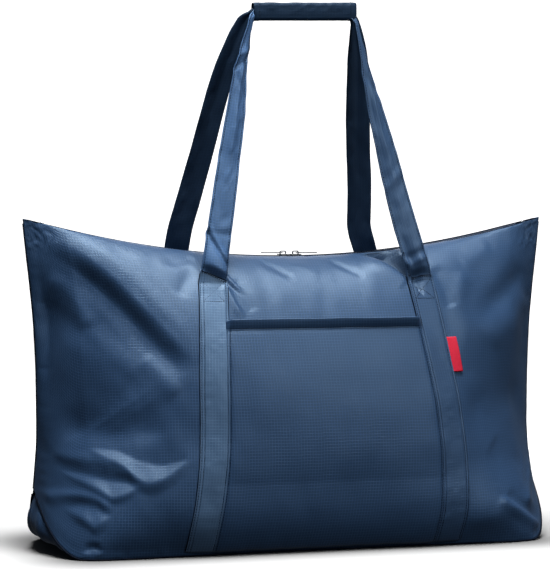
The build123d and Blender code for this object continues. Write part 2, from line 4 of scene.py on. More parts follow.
import bpy
import numpy as np
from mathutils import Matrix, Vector


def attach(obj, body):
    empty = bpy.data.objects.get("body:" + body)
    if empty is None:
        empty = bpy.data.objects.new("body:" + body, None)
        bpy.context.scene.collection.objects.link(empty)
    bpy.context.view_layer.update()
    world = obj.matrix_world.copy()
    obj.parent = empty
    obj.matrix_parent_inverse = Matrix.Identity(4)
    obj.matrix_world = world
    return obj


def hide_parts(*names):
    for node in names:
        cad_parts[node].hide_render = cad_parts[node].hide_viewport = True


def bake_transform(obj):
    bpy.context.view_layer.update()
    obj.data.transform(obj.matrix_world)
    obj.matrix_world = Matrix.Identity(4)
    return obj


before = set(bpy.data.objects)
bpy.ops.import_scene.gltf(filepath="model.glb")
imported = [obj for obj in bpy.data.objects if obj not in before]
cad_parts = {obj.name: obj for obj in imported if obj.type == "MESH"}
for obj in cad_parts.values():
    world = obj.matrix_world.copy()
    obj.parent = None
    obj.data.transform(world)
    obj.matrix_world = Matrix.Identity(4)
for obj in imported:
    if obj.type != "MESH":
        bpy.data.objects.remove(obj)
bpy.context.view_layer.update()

# Foldable travel tote. Lengths in this script are millimetres; meshes are
# written in metres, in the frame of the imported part: +X along the width,
# -Y the pocket side, +Z up, origin on the floor under the middle.
MM = 0.001
scene = bpy.context.scene


# =========================================================== body of the bag
ZIP_CZ, ZIP_R = 1520.0, 1178.0
RIM_HALF, TIP_HALF = 11.0, 1.2
MID_RIM, END_RISE, BOAT = 342.0, 72.0, 2.9
U_END, U_FLAT = 0.84, 0.8235
HALF_WIDTH = [(0, 323), (30, 321), (60, 317), (90, 314), (140, 311), (200, 311.5),
              (260, 314), (310, 318.5), (345, 322.5), (388, 327)]
SECTION = [(0.0, 104), (12, 110), (30, 116.5), (60, 121.5), (100, 123.5), (150, 120),
           (200, 112), (240, 101), (270, 89.5), (290, 79.5), (310, 66), (325, 52),
           (335, 38), (341.3, 27), (343.6, 19), (343.9, 15), (343.4, 11)]
FULLNESS = [(0, 15), (30, 9.5), (60, 6.4), (100, 4.4), (150, 3.5), (200, 3.1),
            (260, 2.8), (310, 2.6), (343, 2.4)]
SEC = [(z, y) for z, y in SECTION if z < 343.8]
FRONT_LEFT = [(6, -144), (31, -141), (72, -134), (124, -128), (204, -124.5), (270, -119.5),
              (312, -114.5), (330, -112)]
FRONT_RIGHT = [(6, 161), (18, 163), (50, 167.5), (98, 169), (134, 167), (180, 162.5),
               (225, 156), (272, 149.5), (318, 144), (330, 142)]
REAR_LEFT = [(6, -150), (80, -149), (160, -143), (240, -134), (330, -126)]
REAR_RIGHT = [(6, 150), (80, 149), (160, 143), (240, 134), (330, 126)]
HALF = 17.0


def smooth(points, x):
    """Monotone cubic interpolation in a list of (x, value) pairs."""
    p = np.asarray(points, float)
    X, Y = p[:, 0], p[:, 1]
    x = np.clip(np.asarray(x, float), X[0], X[-1])
    s = np.diff(Y) / np.diff(X)
    m = np.empty(len(X))
    m[0], m[-1] = s[0], s[-1]
    a, b = s[:-1], s[1:]
    with np.errstate(divide="ignore", invalid="ignore"):
        m[1:-1] = np.where(a * b <= 0, 0.0, 2 * a * b / (a + b))
    k = np.clip(np.searchsorted(X, x, side="right") - 1, 0, len(X) - 2)
    h = X[k + 1] - X[k]
    t = (x - X[k]) / h
    return (Y[k] * (1 + 2 * t) * (1 - t) ** 2 + m[k] * h * t * (1 - t) ** 2
            + Y[k + 1] * t * t * (3 - 2 * t) + m[k + 1] * h * t * t * (t - 1))


def half_width(z):
    return smooth(HALF_WIDTH, z)


def zip_height(x):
    return ZIP_CZ - np.sqrt(ZIP_R**2 - np.asarray(x, float) ** 2)


def base_height(u):
    s = np.maximum(0, (np.abs(u) - U_END) / (1 - U_END))
    return 1.3 + (END_RISE - 1.3) * s**BOAT


def rim_half(u):
    s = np.maximum(0, (np.abs(u) - 0.86) / 0.14)
    return RIM_HALF + (TIP_HALF - RIM_HALF) * s**1.15


def fullness(u, zc, yc):
    g = 1 - np.abs(u) ** smooth(FULLNESS, zc)
    corner = 1 + 0.10 * u * u * np.maximum(0, 1 - zc / 150) ** 2
    return rim_half(u) + (yc - RIM_HALF) * g * corner


_run = np.r_[0, np.cumsum(np.hypot(*np.diff(np.array(SECTION, float), axis=0).T))]
SEC_Z = [(r, p[0]) for r, p in zip(_run, SECTION)]
SEC_Y = [(r, p[1]) for r, p in zip(_run, SECTION)]


def _eased(table, width=9.0):
    """The same profile with its curvature evened out, ends kept."""
    r = np.linspace(0, _run[-1], 900)
    v = smooth(table, r)
    stepr = r[1] - r[0]
    k = np.arange(-60, 61)
    g = np.exp(-((k * stepr / width) ** 2))
    g /= g.sum()
    pad = np.r_[2 * v[0] - v[60:0:-1], v, 2 * v[-1] - v[-2:-62:-1]]
    soft = np.convolve(pad, g, "valid")
    keep = step(np.minimum(r, _run[-1] - r) / 26.0)
    return r, v + (soft - v) * keep


def step(t):
    t = np.clip(t, 0, 1)
    return t * t * (3 - 2 * t)


_RR, _ZZ = _eased(SEC_Z)
_, _YY = _eased(SEC_Y)
_TOP = int(np.argmax(_ZZ))


def body_point(u, w):
    r = w * _run[-1]
    zc, yc = np.interp(r, _RR, _ZZ), np.interp(r, _RR, _YY)
    low, high = base_height(u), zip_height(326 * u)
    z = low + zc / MID_RIM * (high - low)
    return u * half_width(z), fullness(u, zc, yc), z


def depth_at(x, z):
    u = np.clip(x / half_width(z), -1, 1)
    low, high = base_height(u), zip_height(326 * u)
    zc = (z - low) / (high - low) * MID_RIM
    return fullness(u, zc, np.interp(zc, _ZZ[:_TOP], _YY[:_TOP]))


# ============================================================ folds in cloth
def value_noise(x, y, seed):
    """Smooth noise from -1 to 1 with a cell of 1."""
    x, y = np.asarray(x, float), np.asarray(y, float)
    i, j = np.floor(x).astype(np.int64), np.floor(y).astype(np.int64)
    fx, fy = x - i, y - j
    fx, fy = fx**3 * (fx * (fx * 6 - 15) + 10), fy**3 * (fy * (fy * 6 - 15) + 10)

    def corner(a, b):
        n = (a * 374761393 + b * 668265263 + seed * 1442695041) & 0xFFFFFFFF
        n = ((n ^ (n >> 13)) * 1274126177) & 0xFFFFFFFF
        return ((n ^ (n >> 16)) & 0xFFFF) / 32767.5 - 1

    top = corner(i, j) * (1 - fx) + corner(i + 1, j) * fx
    low = corner(i, j + 1) * (1 - fx) + corner(i + 1, j + 1) * fx
    return top * (1 - fy) + low * fy


def rounded(points, times=2):
    """The same polyline with its corners cut."""
    p = np.asarray(points, float)
    for _ in range(times):
        q = np.empty((2 * len(p) - 2, 2))
        q[0::2] = 0.75 * p[:-1] + 0.25 * p[1:]
        q[1::2] = 0.25 * p[:-1] + 0.75 * p[1:]
        p = np.vstack([p[:1], q, p[-1:]])
    return p


def along(points, x, z):
    """Signed distance from a line of folds, positive on its left, and the
    share of its length that has gone by."""
    p = rounded(points)
    seg = np.diff(p, axis=0)
    size = np.hypot(*seg.T)
    keep = size > 1e-9
    start, seg, size = p[:-1][keep], seg[keep], size[keep]
    gone = np.r_[0, np.cumsum(size)]
    best, sd, tt = np.full(x.shape, 1e9), np.zeros(x.shape), np.zeros(x.shape)
    for i, (a, d) in enumerate(zip(start, seg)):
        t = np.clip(((x - a[0]) * d[0] + (z - a[1]) * d[1]) / size[i] ** 2, 0, 1)
        dx, dz = x - a[0] - t * d[0], z - a[1] - t * d[1]
        dist = np.hypot(dx, dz)
        m = dist < best
        best = np.where(m, dist, best)
        sd = np.where(m, np.sign(d[0] * dz - d[1] * dx) * dist, sd)
        tt = np.where(m, (gone[i] + t * size[i]) / gone[-1], tt)
    return sd, tt


def ridge(x, z, points, height, left, right=None, ends=(0.15, 0.15)):
    """A rounded ridge, or a valley where height is below 0."""
    d, t = along(points, x, z)
    right = left if right is None else right
    w = np.where(d > 0, left, right)
    return height * np.exp(-((d / w) ** 2)) * step(t / ends[0]) * step((1 - t) / ends[1])


def leaf(x, z, upper, lower, slope, most, over, under):
    """A facet that faces up: a crease along upper, a brow along lower."""
    zu, zl = smooth(upper, x), smooth(lower, x)
    x0, x1 = max(upper[0][0], lower[0][0]), min(upper[-1][0], lower[-1][0])
    w = np.maximum(zu - zl, 0) * step((x - x0 + 3) / 12) * step((x1 + 3 - x) / 12)
    a = np.minimum(slope * w, most)
    s = np.clip((z - zl) / np.maximum(w, 0.05), 0, 1)
    h = a * (0.5 - s)
    h = np.where(z > zu, -0.5 * a * (1 - step((z - zu) / over)), h)
    return np.where(z < zl, 0.5 * a * (1 - step((zl - z) / under)), h)


def strap_centre(line, z):
    return smooth(line, z)


def front_folds(x, z):
    h = np.zeros(np.broadcast(x, z).shape)
    x, z = np.broadcast_arrays(np.asarray(x, float), np.asarray(z, float))
    # the long fold that runs down from the left tip
    d, t = along([(-296, 372), (-280, 364), (-258, 350), (-233, 329), (-212, 307), (-192, 284),
                  (-171, 260), (-153, 240), (-140, 222)], x, z)
    h = h + smooth([(-185, 0), (-150, -1.8), (-122, -4.6), (-98, -6.9), (-80, -7.2), (-64, -6.2), (-46, -6.6), (-31, -7.6),
                    (-26, -7.5), (-2, 3.8), (8, 3.9), (26, 1.9), (62, 0)], d) * smooth([(0, 0), (0.12, 0.45), (0.3, 1), (0.78, 0.9), (1, 0)], t)
    h = h + ridge(x, z, [(-307, 320), (-297, 317), (-285, 307), (-271, 286), (-259, 263)], 1.6, 9, 12)
    # three collapsed folds over the lower left corner
    h = h + leaf(x, z, [(-266, 126), (-241, 124.5), (-213, 113), (-191, 108), (-158, 115)],
                 [(-266, 125), (-249, 116), (-229, 105), (-216, 92), (-204, 88), (-187, 93), (-158, 113)],
                 0.31, 6.0, 32, 16)
    h = h + leaf(x, z, [(-293, 98), (-275, 96), (-251, 90.5), (-230, 88.5), (-213, 86)],
                 [(-293, 97), (-277, 89.5), (-261, 81), (-252, 75), (-245, 71), (-231, 75), (-213, 85)],
                 0.29, 4.6, 12, 9)
    h = h + leaf(x, z, [(-292, 58), (-275, 62.5), (-263, 61), (-256, 56), (-247, 52)],
                 [(-292, 56), (-284, 51.5), (-275, 46.5), (-266, 39.5), (-257, 45), (-247, 51)],
                 0.32, 4.6, 14, 12)
    h = h + leaf(x, z, [(-281, 11), (-271, 15), (-257, 12)], [(-281, 9.5), (-271, 2.5), (-257, 10.5)],
                 0.5, 4.5, 9, 4)
    h = h + ridge(x, z, [(-312, 64), (-296, 71), (-273, 71), (-257, 66), (-246, 56)], 2.2, 5, 7)
    h = h + ridge(x, z, [(-300, 118), (-282, 112), (-262, 112), (-240, 104)], 1.4, 8, 6)
    h = h + ridge(x, z, [(-306, 240), (-262, 230), (-220, 210), (-180, 190)], 4.6, 30, 36, (0.2, 0.4))
    h = h + ridge(x, z, [(-300, 150), (-258, 146), (-214, 148), (-172, 150)], -5.6, 28, 18, (0.2, 0.3))
    # soft hollows above the crumpled corner
    h = h + ridge(x, z, [(-206, 232), (-182, 205), (-166, 186)], 1.5, 12, 12)
    # puckers where the left webbing leaves the cloth
    h = h + ridge(x, z, [(-100, 326), (-92, 316), (-84, 308), (-76, 300)], 1.9, 1.8, 2.6, (0.05, 0.5))
    h = h + ridge(x, z, [(-103, 321), (-94, 311), (-86, 303), (-79, 297)], -1.6, 2.4, 2.4, (0.05, 0.5))
    h = h + ridge(x, z, [(-99, 312), (-95, 298), (-89, 284), (-80, 275)], 1.9, 3.0, 7.5, (0.1, 0.3))
    h = h + ridge(x, z, [(-90, 318), (-78, 300), (-70, 280)], -0.8, 8, 6)
    h = h + ridge(x, z, [(-132, 330), (-146, 318), (-158, 300)], -1.2, 8, 8)
    # small dents under the rim, each side of the zip sliders
    h = h + ridge(x, z, [(-52, 342), (-40, 335), (-24, 325), (-12, 318)], -1.1, 3.2, 4.2)
    h = h + ridge(x, z, [(38, 341), (50, 333), (64, 325), (76, 320)], -1.3, 2.6, 3.6)
    h = h + ridge(x, z, [(-20, 341), (0, 332), (22, 322)], 0.7, 7, 7)
    # the cloth drawn up under the right handle
    h = h + 2.2 * np.exp(-(((x - 98) / 22) ** 2) - (((z - 330) / 16) ** 2))
    h = h + ridge(x, z, [(168, 330), (178, 300), (184, 280)], -1.9, 9, 8)
    h = h + ridge(x, z, [(214, 333), (201, 312), (190, 290), (180, 250)], 2.4, 12, 10, (0.3, 0.6))
    h = h + ridge(x, z, [(305, 330), (268, 299), (226, 274), (196, 258)], -3.6, 13, 18, (0.2, 0.5))
    h = h + ridge(x, z, [(305, 296), (262, 262), (228, 236)], 2.0, 16, 18)
    h = h + ridge(x, z, [(250, 356), (226, 340), (206, 330)], 0.9, 8, 10)
    # the right side: it leans out under the handle, falls back in the middle
    # and stands out again over the base
    h = h + ridge(x, z, [(170, 262), (210, 256), (250, 250), (300, 246)], 4.2, 26, 34, (0.25, 0.2))
    h = h + ridge(x, z, [(180, 158), (214, 162), (250, 166), (304, 170)], -3.6, 30, 30, (0.25, 0.2))
    h = h + ridge(x, z, [(176, 30), (214, 36), (250, 44), (290, 58)], 3.2, 34, 16, (0.25, 0.2))
    # the middle stands up from the base before it leans out
    h = h + 3.4 * smooth([(0, 0), (8, 2.0), (18, 3.4), (32, 3.2), (84, 0)], z) / 3.4 * step((190 - np.abs(x)) / 60)
    # lower right corner
    h = h + ridge(x, z, [(228, 57), (236, 50), (250, 41), (272, 28), (300, 14)], 3.2, 3.0, 8, (0.12, 0.2))
    h = h + ridge(x, z, [(238, 60), (254, 48), (276, 36), (300, 24)], -2.0, 7, 4)
    h = h + ridge(x, z, [(300, 92), (288, 70), (276, 52), (272, 40)], 2.2, 8, 7)
    h = h + ridge(x, z, [(224, 120), (250, 96), (280, 88)], -1.2, 16, 14)
    return h


def rim_folds(x, z, w):
    """Folds close under the zip, front side."""
    x, z = np.broadcast_arrays(np.asarray(x, float), np.asarray(z, float))
    d, t = along([(78, 346), (94, 341), (110, 333), (124, 323), (131, 314)], x, z)
    h = smooth([(-22, 0), (-8, 1.9), (-1.5, 1.6), (5, -15), (8, -15.6), (25, 0)], d) * step(t / 0.30) * step((1.05 - t) / 0.12)
    h = h * step((152 - x) / 14)
    d, t = along([(-128, 345), (-150, 339), (-176, 338)], x, z)
    h = h - 1.4 * np.exp(-((d / 5) ** 2)) * step(t / 0.2) * step((1 - t) / 0.4)
    # gathered tips
    tip = step((np.abs(x) - 284) / 22) * step((z - 352) / 10)
    return h + tip * (0.9 * np.sin(x / 1.9 + 2.4 * value_noise(x / 9, z / 5, 8)) * value_noise(x / 12, z / 6, 9))


def back_folds(x, z):
    """Folds of the back panel, in the same x and z."""
    x, z = np.broadcast_arrays(np.asarray(x, float), np.asarray(z, float))
    h = np.zeros(x.shape)
    d, t = along([(298, 374), (272, 356), (246, 332), (222, 300), (202, 268), (188, 236)], x, z)
    h = h + smooth([(-62, 0), (-20, 2.2), (-2, 3.2), (16, -3.4), (36, 1.8), (56, -1.2), (80, 0)], d) \
        * smooth([(0, 0), (0.25, 1), (0.75, 0.9), (1, 0)], t)
    d, t = along([(-300, 368), (-268, 342), (-240, 310), (-216, 274), (-200, 246)], x, z)
    h = h + smooth([(-84, 0), (-60, 1.0), (-38, -1.4), (-18, 2.2), (0, -2.6), (24, 2.2), (64, 0)], d) \
        * smooth([(0, 0), (0.3, 1), (0.7, 0.9), (1, 0)], t)
    h = h + leaf(x, z, [(168, 118), (200, 122), (232, 114), (262, 118)],
                 [(168, 116), (200, 106), (232, 98), (262, 114)], 0.5, 7, 22, 14)
    h = h + leaf(x, z, [(-262, 92), (-236, 98), (-206, 94), (-180, 88)],
                 [(-262, 90), (-236, 83), (-206, 80), (-180, 86)], 0.5, 6, 18, 12)
    h = h + leaf(x, z, [(-284, 58), (-262, 62), (-240, 56)], [(-284, 56), (-262, 47), (-240, 54)], 0.5, 5, 12, 10)
    h = h + leaf(x, z, [(236, 62), (262, 66), (286, 58)], [(236, 60), (262, 51), (286, 56)], 0.5, 5, 12, 10)
    h = h + ridge(x, z, [(-90, 300), (-40, 262), (10, 230), (60, 214)], -2.0, 22, 26)
    h = h + ridge(x, z, [(96, 296), (60, 250), (40, 200)], 1.8, 18, 22)
    h = h + ridge(x, z, [(-100, 120), (-40, 104), (30, 110), (96, 96)], -2.2, 20, 16)
    h = h + ridge(x, z, [(-96, 318), (-84, 304), (-72, 294)], 1.5, 3, 3)
    h = h + ridge(x, z, [(96, 318), (84, 304), (72, 294)], 1.5, 3, 3)
    return h


def ripple(x, z, side):
    """Small life in the cloth, quiet behind the pocket."""
    s = 11 if side < 0 else 47
    calm = 1.0
    if side < 0:
        inside = step((x + 118) / 30) * step((150 - x) / 30) * step((272 - z) / 20)
        calm = 1 - 0.72 * inside
    h = 1.5 * value_noise(x / 90, z / 74, s) + 0.75 * value_noise(x / 38 + z / 150, z / 46, s + 1)
    h = h + 0.34 * value_noise(x / 17 + z / 60, z / 26 - x / 90, s + 2)
    return h * calm


def w_of(u, z):
    """The share of the way from the floor to the rim at a height."""
    low, high = base_height(u), zip_height(326 * u)
    zc = np.clip((z - low) / (high - low) * MID_RIM, 0, 343.5)
    return np.interp(zc, _ZZ[:_TOP], _RR[:_TOP]) / _run[-1]


def offset(u, w, x, z, side):
    """How far the cloth stands out from the plain body, folds and all. The
    seams hold it: nothing moves at the base, the side seams and the rim."""
    hold = step((1 - np.abs(u)) / 0.035) * step(w / 0.03) * step((1 - w) / 0.10)
    folds = front_folds(x, z) if side < 0 else back_folds(x, z)
    h = (folds + ripple(x, z, side)) * hold
    if side < 0:
        h = h + rim_folds(x, z, w) * step((1 - np.abs(u)) / 0.02) * step((1 - w) / 0.035)
    # gathers along the seams
    pucker = np.exp(-((1 - np.abs(u)) * 320 / 9) ** 2) * value_noise(z / 6.5, side * 3.3 + x * 0, 71)
    pucker = pucker + np.exp(-((w * 430 / 10) ** 2)) * value_noise(x / 7.5, side * 5.1 + z * 0, 72)
    pucker = pucker + np.exp(-(((1 - w) * 430 / 13) ** 2)) * value_noise(x / 8.5, side * 7.7 + z * 0, 73) * 0.7
    return h + 0.55 * pucker * step((1 - np.abs(u)) / 0.012) * step(w / 0.012) * step((1 - w) / 0.02)


def normals_of(P):
    """Unit normals of a grid of points (rows, columns, 3)."""
    du = np.empty_like(P)
    dv = np.empty_like(P)
    du[:, 1:-1], du[:, 0], du[:, -1] = P[:, 2:] - P[:, :-2], P[:, 1] - P[:, 0], P[:, -1] - P[:, -2]
    dv[1:-1], dv[0], dv[-1] = P[2:] - P[:-2], P[1] - P[0], P[-1] - P[-2]
    n = np.cross(du, dv)
    return n / np.maximum(np.linalg.norm(n, axis=-1, keepdims=True), 1e-12)


def plain_body(u, w, side):
    x, y, z = body_point(u, w)
    return np.stack([x, side * y, z], -1)


def cloth_grid(us, ws, side):
    """Final outside of a main panel on a grid of u and w."""
    U, Wd = np.meshgrid(us, ws)
    P = plain_body(U, Wd, side)
    n = normals_of(P)
    n = n * np.where((n[..., 1] * side).mean() > 0, 1, -1)
    h = offset(U, Wd, P[..., 0], P[..., 2], side)
    return P + n * h[..., None], n


def on_cloth(x, z, side, lift=0.0):
    """A point on the final cloth, at a lift above it, with its normal."""
    x, z = np.broadcast_arrays(np.asarray(x, float), np.asarray(z, float))

    def at(x, z):
        e = 0.8
        d = depth_at(x, z)
        dx = (depth_at(x + e, z) - depth_at(x - e, z)) / (2 * e)
        dz = (depth_at(x, z + e) - depth_at(x, z - e)) / (2 * e)
        k = np.sqrt(1 + dx * dx + dz * dz)
        n = np.stack([-dx / k, side / k, -dz / k], -1)
        u = np.clip(x / half_width(z), -1, 1)
        h = offset(u, w_of(u, z), x, z, side)
        return np.stack([x, side * d, z], -1) + n * h[..., None]

    p = at(x, z)
    a = at(x + 0.8, z) - at(x - 0.8, z)
    b = at(x, z + 0.8) - at(x, z - 0.8)
    n = np.cross(a, b) * (-side)
    n = n * np.sign(n[..., 1:2] * side)
    n = n / np.linalg.norm(n, axis=-1, keepdims=True)
    return p + n * np.asarray(lift)[..., None], n


# ================================================================== meshes
def make(name, verts, faces, material, uv=None, smooth_faces=True):
    mesh = bpy.data.meshes.new(name)
    mesh.from_pydata((np.asarray(verts, float) * MM).tolist(), [], faces)
    mesh.update()
    if uv is not None:
        layer = mesh.uv_layers.new(name="cloth")
        idx = np.empty(len(mesh.loops), np.int32)
        mesh.loops.foreach_get("vertex_index", idx)
        layer.data.foreach_set("uv", (np.asarray(uv, float)[idx] * MM).astype(np.float32).ravel())
    if smooth_faces:
        mesh.polygons.foreach_set("use_smooth", [True] * len(mesh.polygons))
    mesh.materials.append(material)
    obj = bpy.data.objects.new(name, mesh)
    scene.collection.objects.link(obj)
    return obj


def grid_uv(P):
    """Arc lengths along a grid's rows and columns, so that a weave lies
    straight in the cloth."""
    du = np.linalg.norm(np.diff(P, axis=1), axis=-1)
    dv = np.linalg.norm(np.diff(P, axis=0), axis=-1)
    u = np.c_[np.zeros(len(P)), np.cumsum(du, axis=1)]
    u = u - u[:, [P.shape[1] // 2]]
    v = np.vstack([np.zeros(P.shape[1]), np.cumsum(dv, axis=0)])
    return np.stack([u, v], -1)


def shell(name, P, thick, material, outward, uv=None, ride="bag", replaces=(), wrap=False):
    """A closed layer of cloth: P is its outside, (rows, columns, 3), thick in
    mm goes inward. outward is a rough direction of the outside. wrap closes
    the grid round its columns, such as for a tube."""
    P = np.asarray(P, float)
    r, c = P.shape[:2]
    n = normals_of(P) if not wrap else normals_of(np.concatenate([P[:, -1:], P, P[:, :1]], 1))[:, 1:-1]
    if callable(outward):
        flip = np.sum(n * outward(P)) < 0
    else:
        flip = np.sum(n * np.asarray(outward, float)) < 0
    n = -n if flip else n
    t = np.broadcast_to(np.asarray(thick, float), (r, c))[..., None]
    Q = P - n * t
    verts = np.concatenate([P.reshape(-1, 3), Q.reshape(-1, 3)])
    if uv is None:
        uv = grid_uv(P)
    grid = P
    uv = np.concatenate([uv.reshape(-1, 2)] * 2)
    idx = np.arange(r * c).reshape(r, c)
    if wrap:
        idx = np.c_[idx, idx[:, :1]]
    a, b, d, e = idx[:-1, :-1], idx[:-1, 1:], idx[1:, 1:], idx[1:, :-1]
    outer = np.stack([a, b, d, e], -1).reshape(-1, 4)
    if flip:
        outer = outer[:, ::-1]
    inner = outer[:, ::-1] + r * c
    faces = [outer, inner]
    edges = [idx[0, :], idx[-1, ::-1]]
    if not wrap:
        edges += [idx[::-1, 0], idx[:, -1]]
    for line in edges:
        s0, s1 = line[:-1], line[1:]
        q = np.stack([s1, s0, s0 + r * c, s1 + r * c], -1)
        faces.append(q[:, ::-1] if flip else q)
    faces = np.concatenate(faces)
    obj = make(name, verts, faces.tolist(), material, uv)
    if ride:
        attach(obj, ride)
    if replaces:
        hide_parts(*replaces)
    cloth_sheet(obj, grid)
    return obj


def cloth_sheet(obj, P):
    """Declares a piece as a sheet, cut to the size its grid has laid flat."""
    across = np.linalg.norm(np.diff(P, axis=1), axis=-1).sum(1).max() * MM
    down = np.linalg.norm(np.diff(P, axis=0), axis=-1).sum(0).max() * MM
    a, b, c, d = P[:-1, :-1], P[:-1, 1:], P[1:, 1:], P[1:, :-1]
    area = 0.5 * (np.linalg.norm(np.cross(b - a, d - a), axis=-1) + np.linalg.norm(np.cross(b - c, d - c), axis=-1)).sum() * MM * MM
    across, down = max(across, 0.01005), max(down, 0.01005)
    area = min(max(area, 0.301 * across * down), across * down)
    FLAT[obj.name] = (round(float(across), 4), round(float(down), 4), round(float(area), 4))


FLAT = {}


def tube(path, radius, sides=8, flat=1.0):
    """Verts and faces of a closed round tube along a path."""
    P = np.asarray(path, float)
    T = np.gradient(P, axis=0)
    T /= np.maximum(np.linalg.norm(T, axis=1, keepdims=True), 1e-12)
    ref = np.array([0.0, 0.0, 1.0]) if abs(T[0, 2]) < 0.9 else np.array([0.0, 1.0, 0.0])
    A = np.empty_like(P)
    a = np.cross(T[0], ref)
    for k, t in enumerate(T):
        a = a - t * (a @ t)
        a /= np.linalg.norm(a)
        A[k] = a
    B = np.cross(T, A)
    ang = np.arange(sides) * 2 * math.pi / sides
    radius = np.broadcast_to(np.asarray(radius, float), (len(P),))
    ring = (P[:, None] + A[:, None] * (np.cos(ang)[None, :, None] * radius[:, None, None])
            + B[:, None] * (np.sin(ang)[None, :, None] * radius[:, None, None] * flat))
    verts = np.concatenate([ring.reshape(-1, 3), P[:1], P[-1:]])
    n = len(P)
    faces = []
    for k in range(n - 1):
        for s in range(sides):
            s2 = (s + 1) % sides
            faces.append([k * sides + s, k * sides + s2, (k + 1) * sides + s2, (k + 1) * sides + s])
    for s in range(sides):
        s2 = (s + 1) % sides
        faces.append([n * sides, s2, s])
        faces.append([n * sides + 1, (n - 1) * sides + s, (n - 1) * sides + s2])
    return verts, faces


def join(parts):
    """Several (verts, faces) as one."""
    verts, faces, k = [], [], 0
    for v, f in parts:
        verts.append(v)
        faces.extend([[i + k for i in q] for q in f])
        k += len(v)
    return np.concatenate(verts), faces


STITCH_V = None


def stitches(points, normals, pitch=3.1, length=2.4, r=0.40, sunk=0.10):
    """A row of thread stitches along points on a surface."""
    p, n = np.asarray(points, float), np.asarray(normals, float)
    gone = np.r_[0, np.cumsum(np.linalg.norm(np.diff(p, axis=0), axis=1))]
    count = max(1, int(gone[-1] / pitch))
    mid = (np.arange(count) + 0.5) * gone[-1] / count

    def at(s, a):
        return np.stack([np.interp(s, gone, a[:, k]) for k in range(3)], -1)

    c, up = at(mid, p), at(mid, n)
    t = at(mid + 0.6, p) - at(mid - 0.6, p)
    t /= np.maximum(np.linalg.norm(t, axis=1, keepdims=True), 1e-9)
    up = up - t * np.sum(up * t, axis=1, keepdims=True)
    up /= np.linalg.norm(up, axis=1, keepdims=True)
    side = np.cross(t, up)
    rings = [(-0.5, 0.25, -0.55), (-0.36, 0.85, 0.0), (0.0, 1.0, 0.22), (0.36, 0.85, 0.0), (0.5, 0.25, -0.55)]
    sides = 6
    ang = np.arange(sides) * 2 * math.pi / sides
    V = []
    for s, k, lift in rings:
        for a in ang:
            V.append(c + t * (s * length) + side * (math.cos(a) * r * k) + up * ((math.sin(a) * k + lift) * r + r * 0.4 - sunk))
    V = np.stack(V, 1)  # stitch, ring*side, 3
    faces = []
    m = len(rings) * sides
    base = []
    for k in range(len(rings) - 1):
        for s in range(sides):
            s2 = (s + 1) % sides
            base.append([k * sides + s, k * sides + s2, (k + 1) * sides + s2, (k + 1) * sides + s])
    base.append(list(range(sides))[::-1])
    base.append([m - sides + s for s in range(sides)])
    for i in range(count):
        faces.extend([[q + i * m for q in f] for f in base])
    return V.reshape(-1, 3), faces


# ================================================================ materials
def tree(name):
    mat = bpy.data.materials.new(name)
    mat.use_nodes = True
    nt = mat.node_tree
    nt.nodes.clear()
    out = nt.nodes.new("ShaderNodeOutputMaterial")
    bsdf = nt.nodes.new("ShaderNodeBsdfPrincipled")
    nt.links.new(bsdf.outputs[0], out.inputs[0])

    def node(kind, **props):
        n = nt.nodes.new("ShaderNode" + kind)
        for k, v in props.items():
            if k.startswith("_"):
                n.inputs[int(k[1:])].default_value = v
            else:
                setattr(n, k, v)
        return n

    def link(a, b):
        nt.links.new(a, b)

    def maths(op, a, b=None, c=None, clamp=False):
        n = nt.nodes.new("ShaderNodeMath")
        n.operation = op
        n.use_clamp = clamp
        for k, v in enumerate((a, b, c)):
            if v is None:
                continue
            if isinstance(v, (int, float)):
                n.inputs[k].default_value = v
            else:
                nt.links.new(v, n.inputs[k])
        return n.outputs[0]

    return mat, bsdf, node, link, maths


def thread_grid(node, link, maths, coord, pitch, width):
    """1 on the thicker threads of a ripstop grid, both ways, else 0."""
    sep = node("SeparateXYZ")
    link(coord, sep.inputs[0])
    lines = []
    for k in (0, 1):
        f = maths("FRACT", maths("MULTIPLY", sep.outputs[k], 1.0 / pitch))
        tri = maths("ABSOLUTE", maths("SUBTRACT", f, 0.5))  # 0.5 at a line's middle... 0 between
        lines.append(maths("SMOOTH_MIN", 1.0, maths("MULTIPLY", maths("MAXIMUM", maths("SUBTRACT", tri, 0.5 - width), 0.0), 1.0 / width), 0.1))
    return lines


def weave(node, link, maths, coord, pitch):
    """Height of a plain weave, threads of a given pitch, 0 to 1."""
    sep = node("SeparateXYZ")
    link(coord, sep.inputs[0])
    k = 2 * math.pi / (2 * pitch)
    sx = maths("SINE", maths("MULTIPLY", sep.outputs[0], k))
    sy = maths("SINE", maths("MULTIPLY", sep.outputs[1], k))
    return maths("ADD", maths("MULTIPLY", maths("MULTIPLY", sx, sy), 0.5), 0.5)


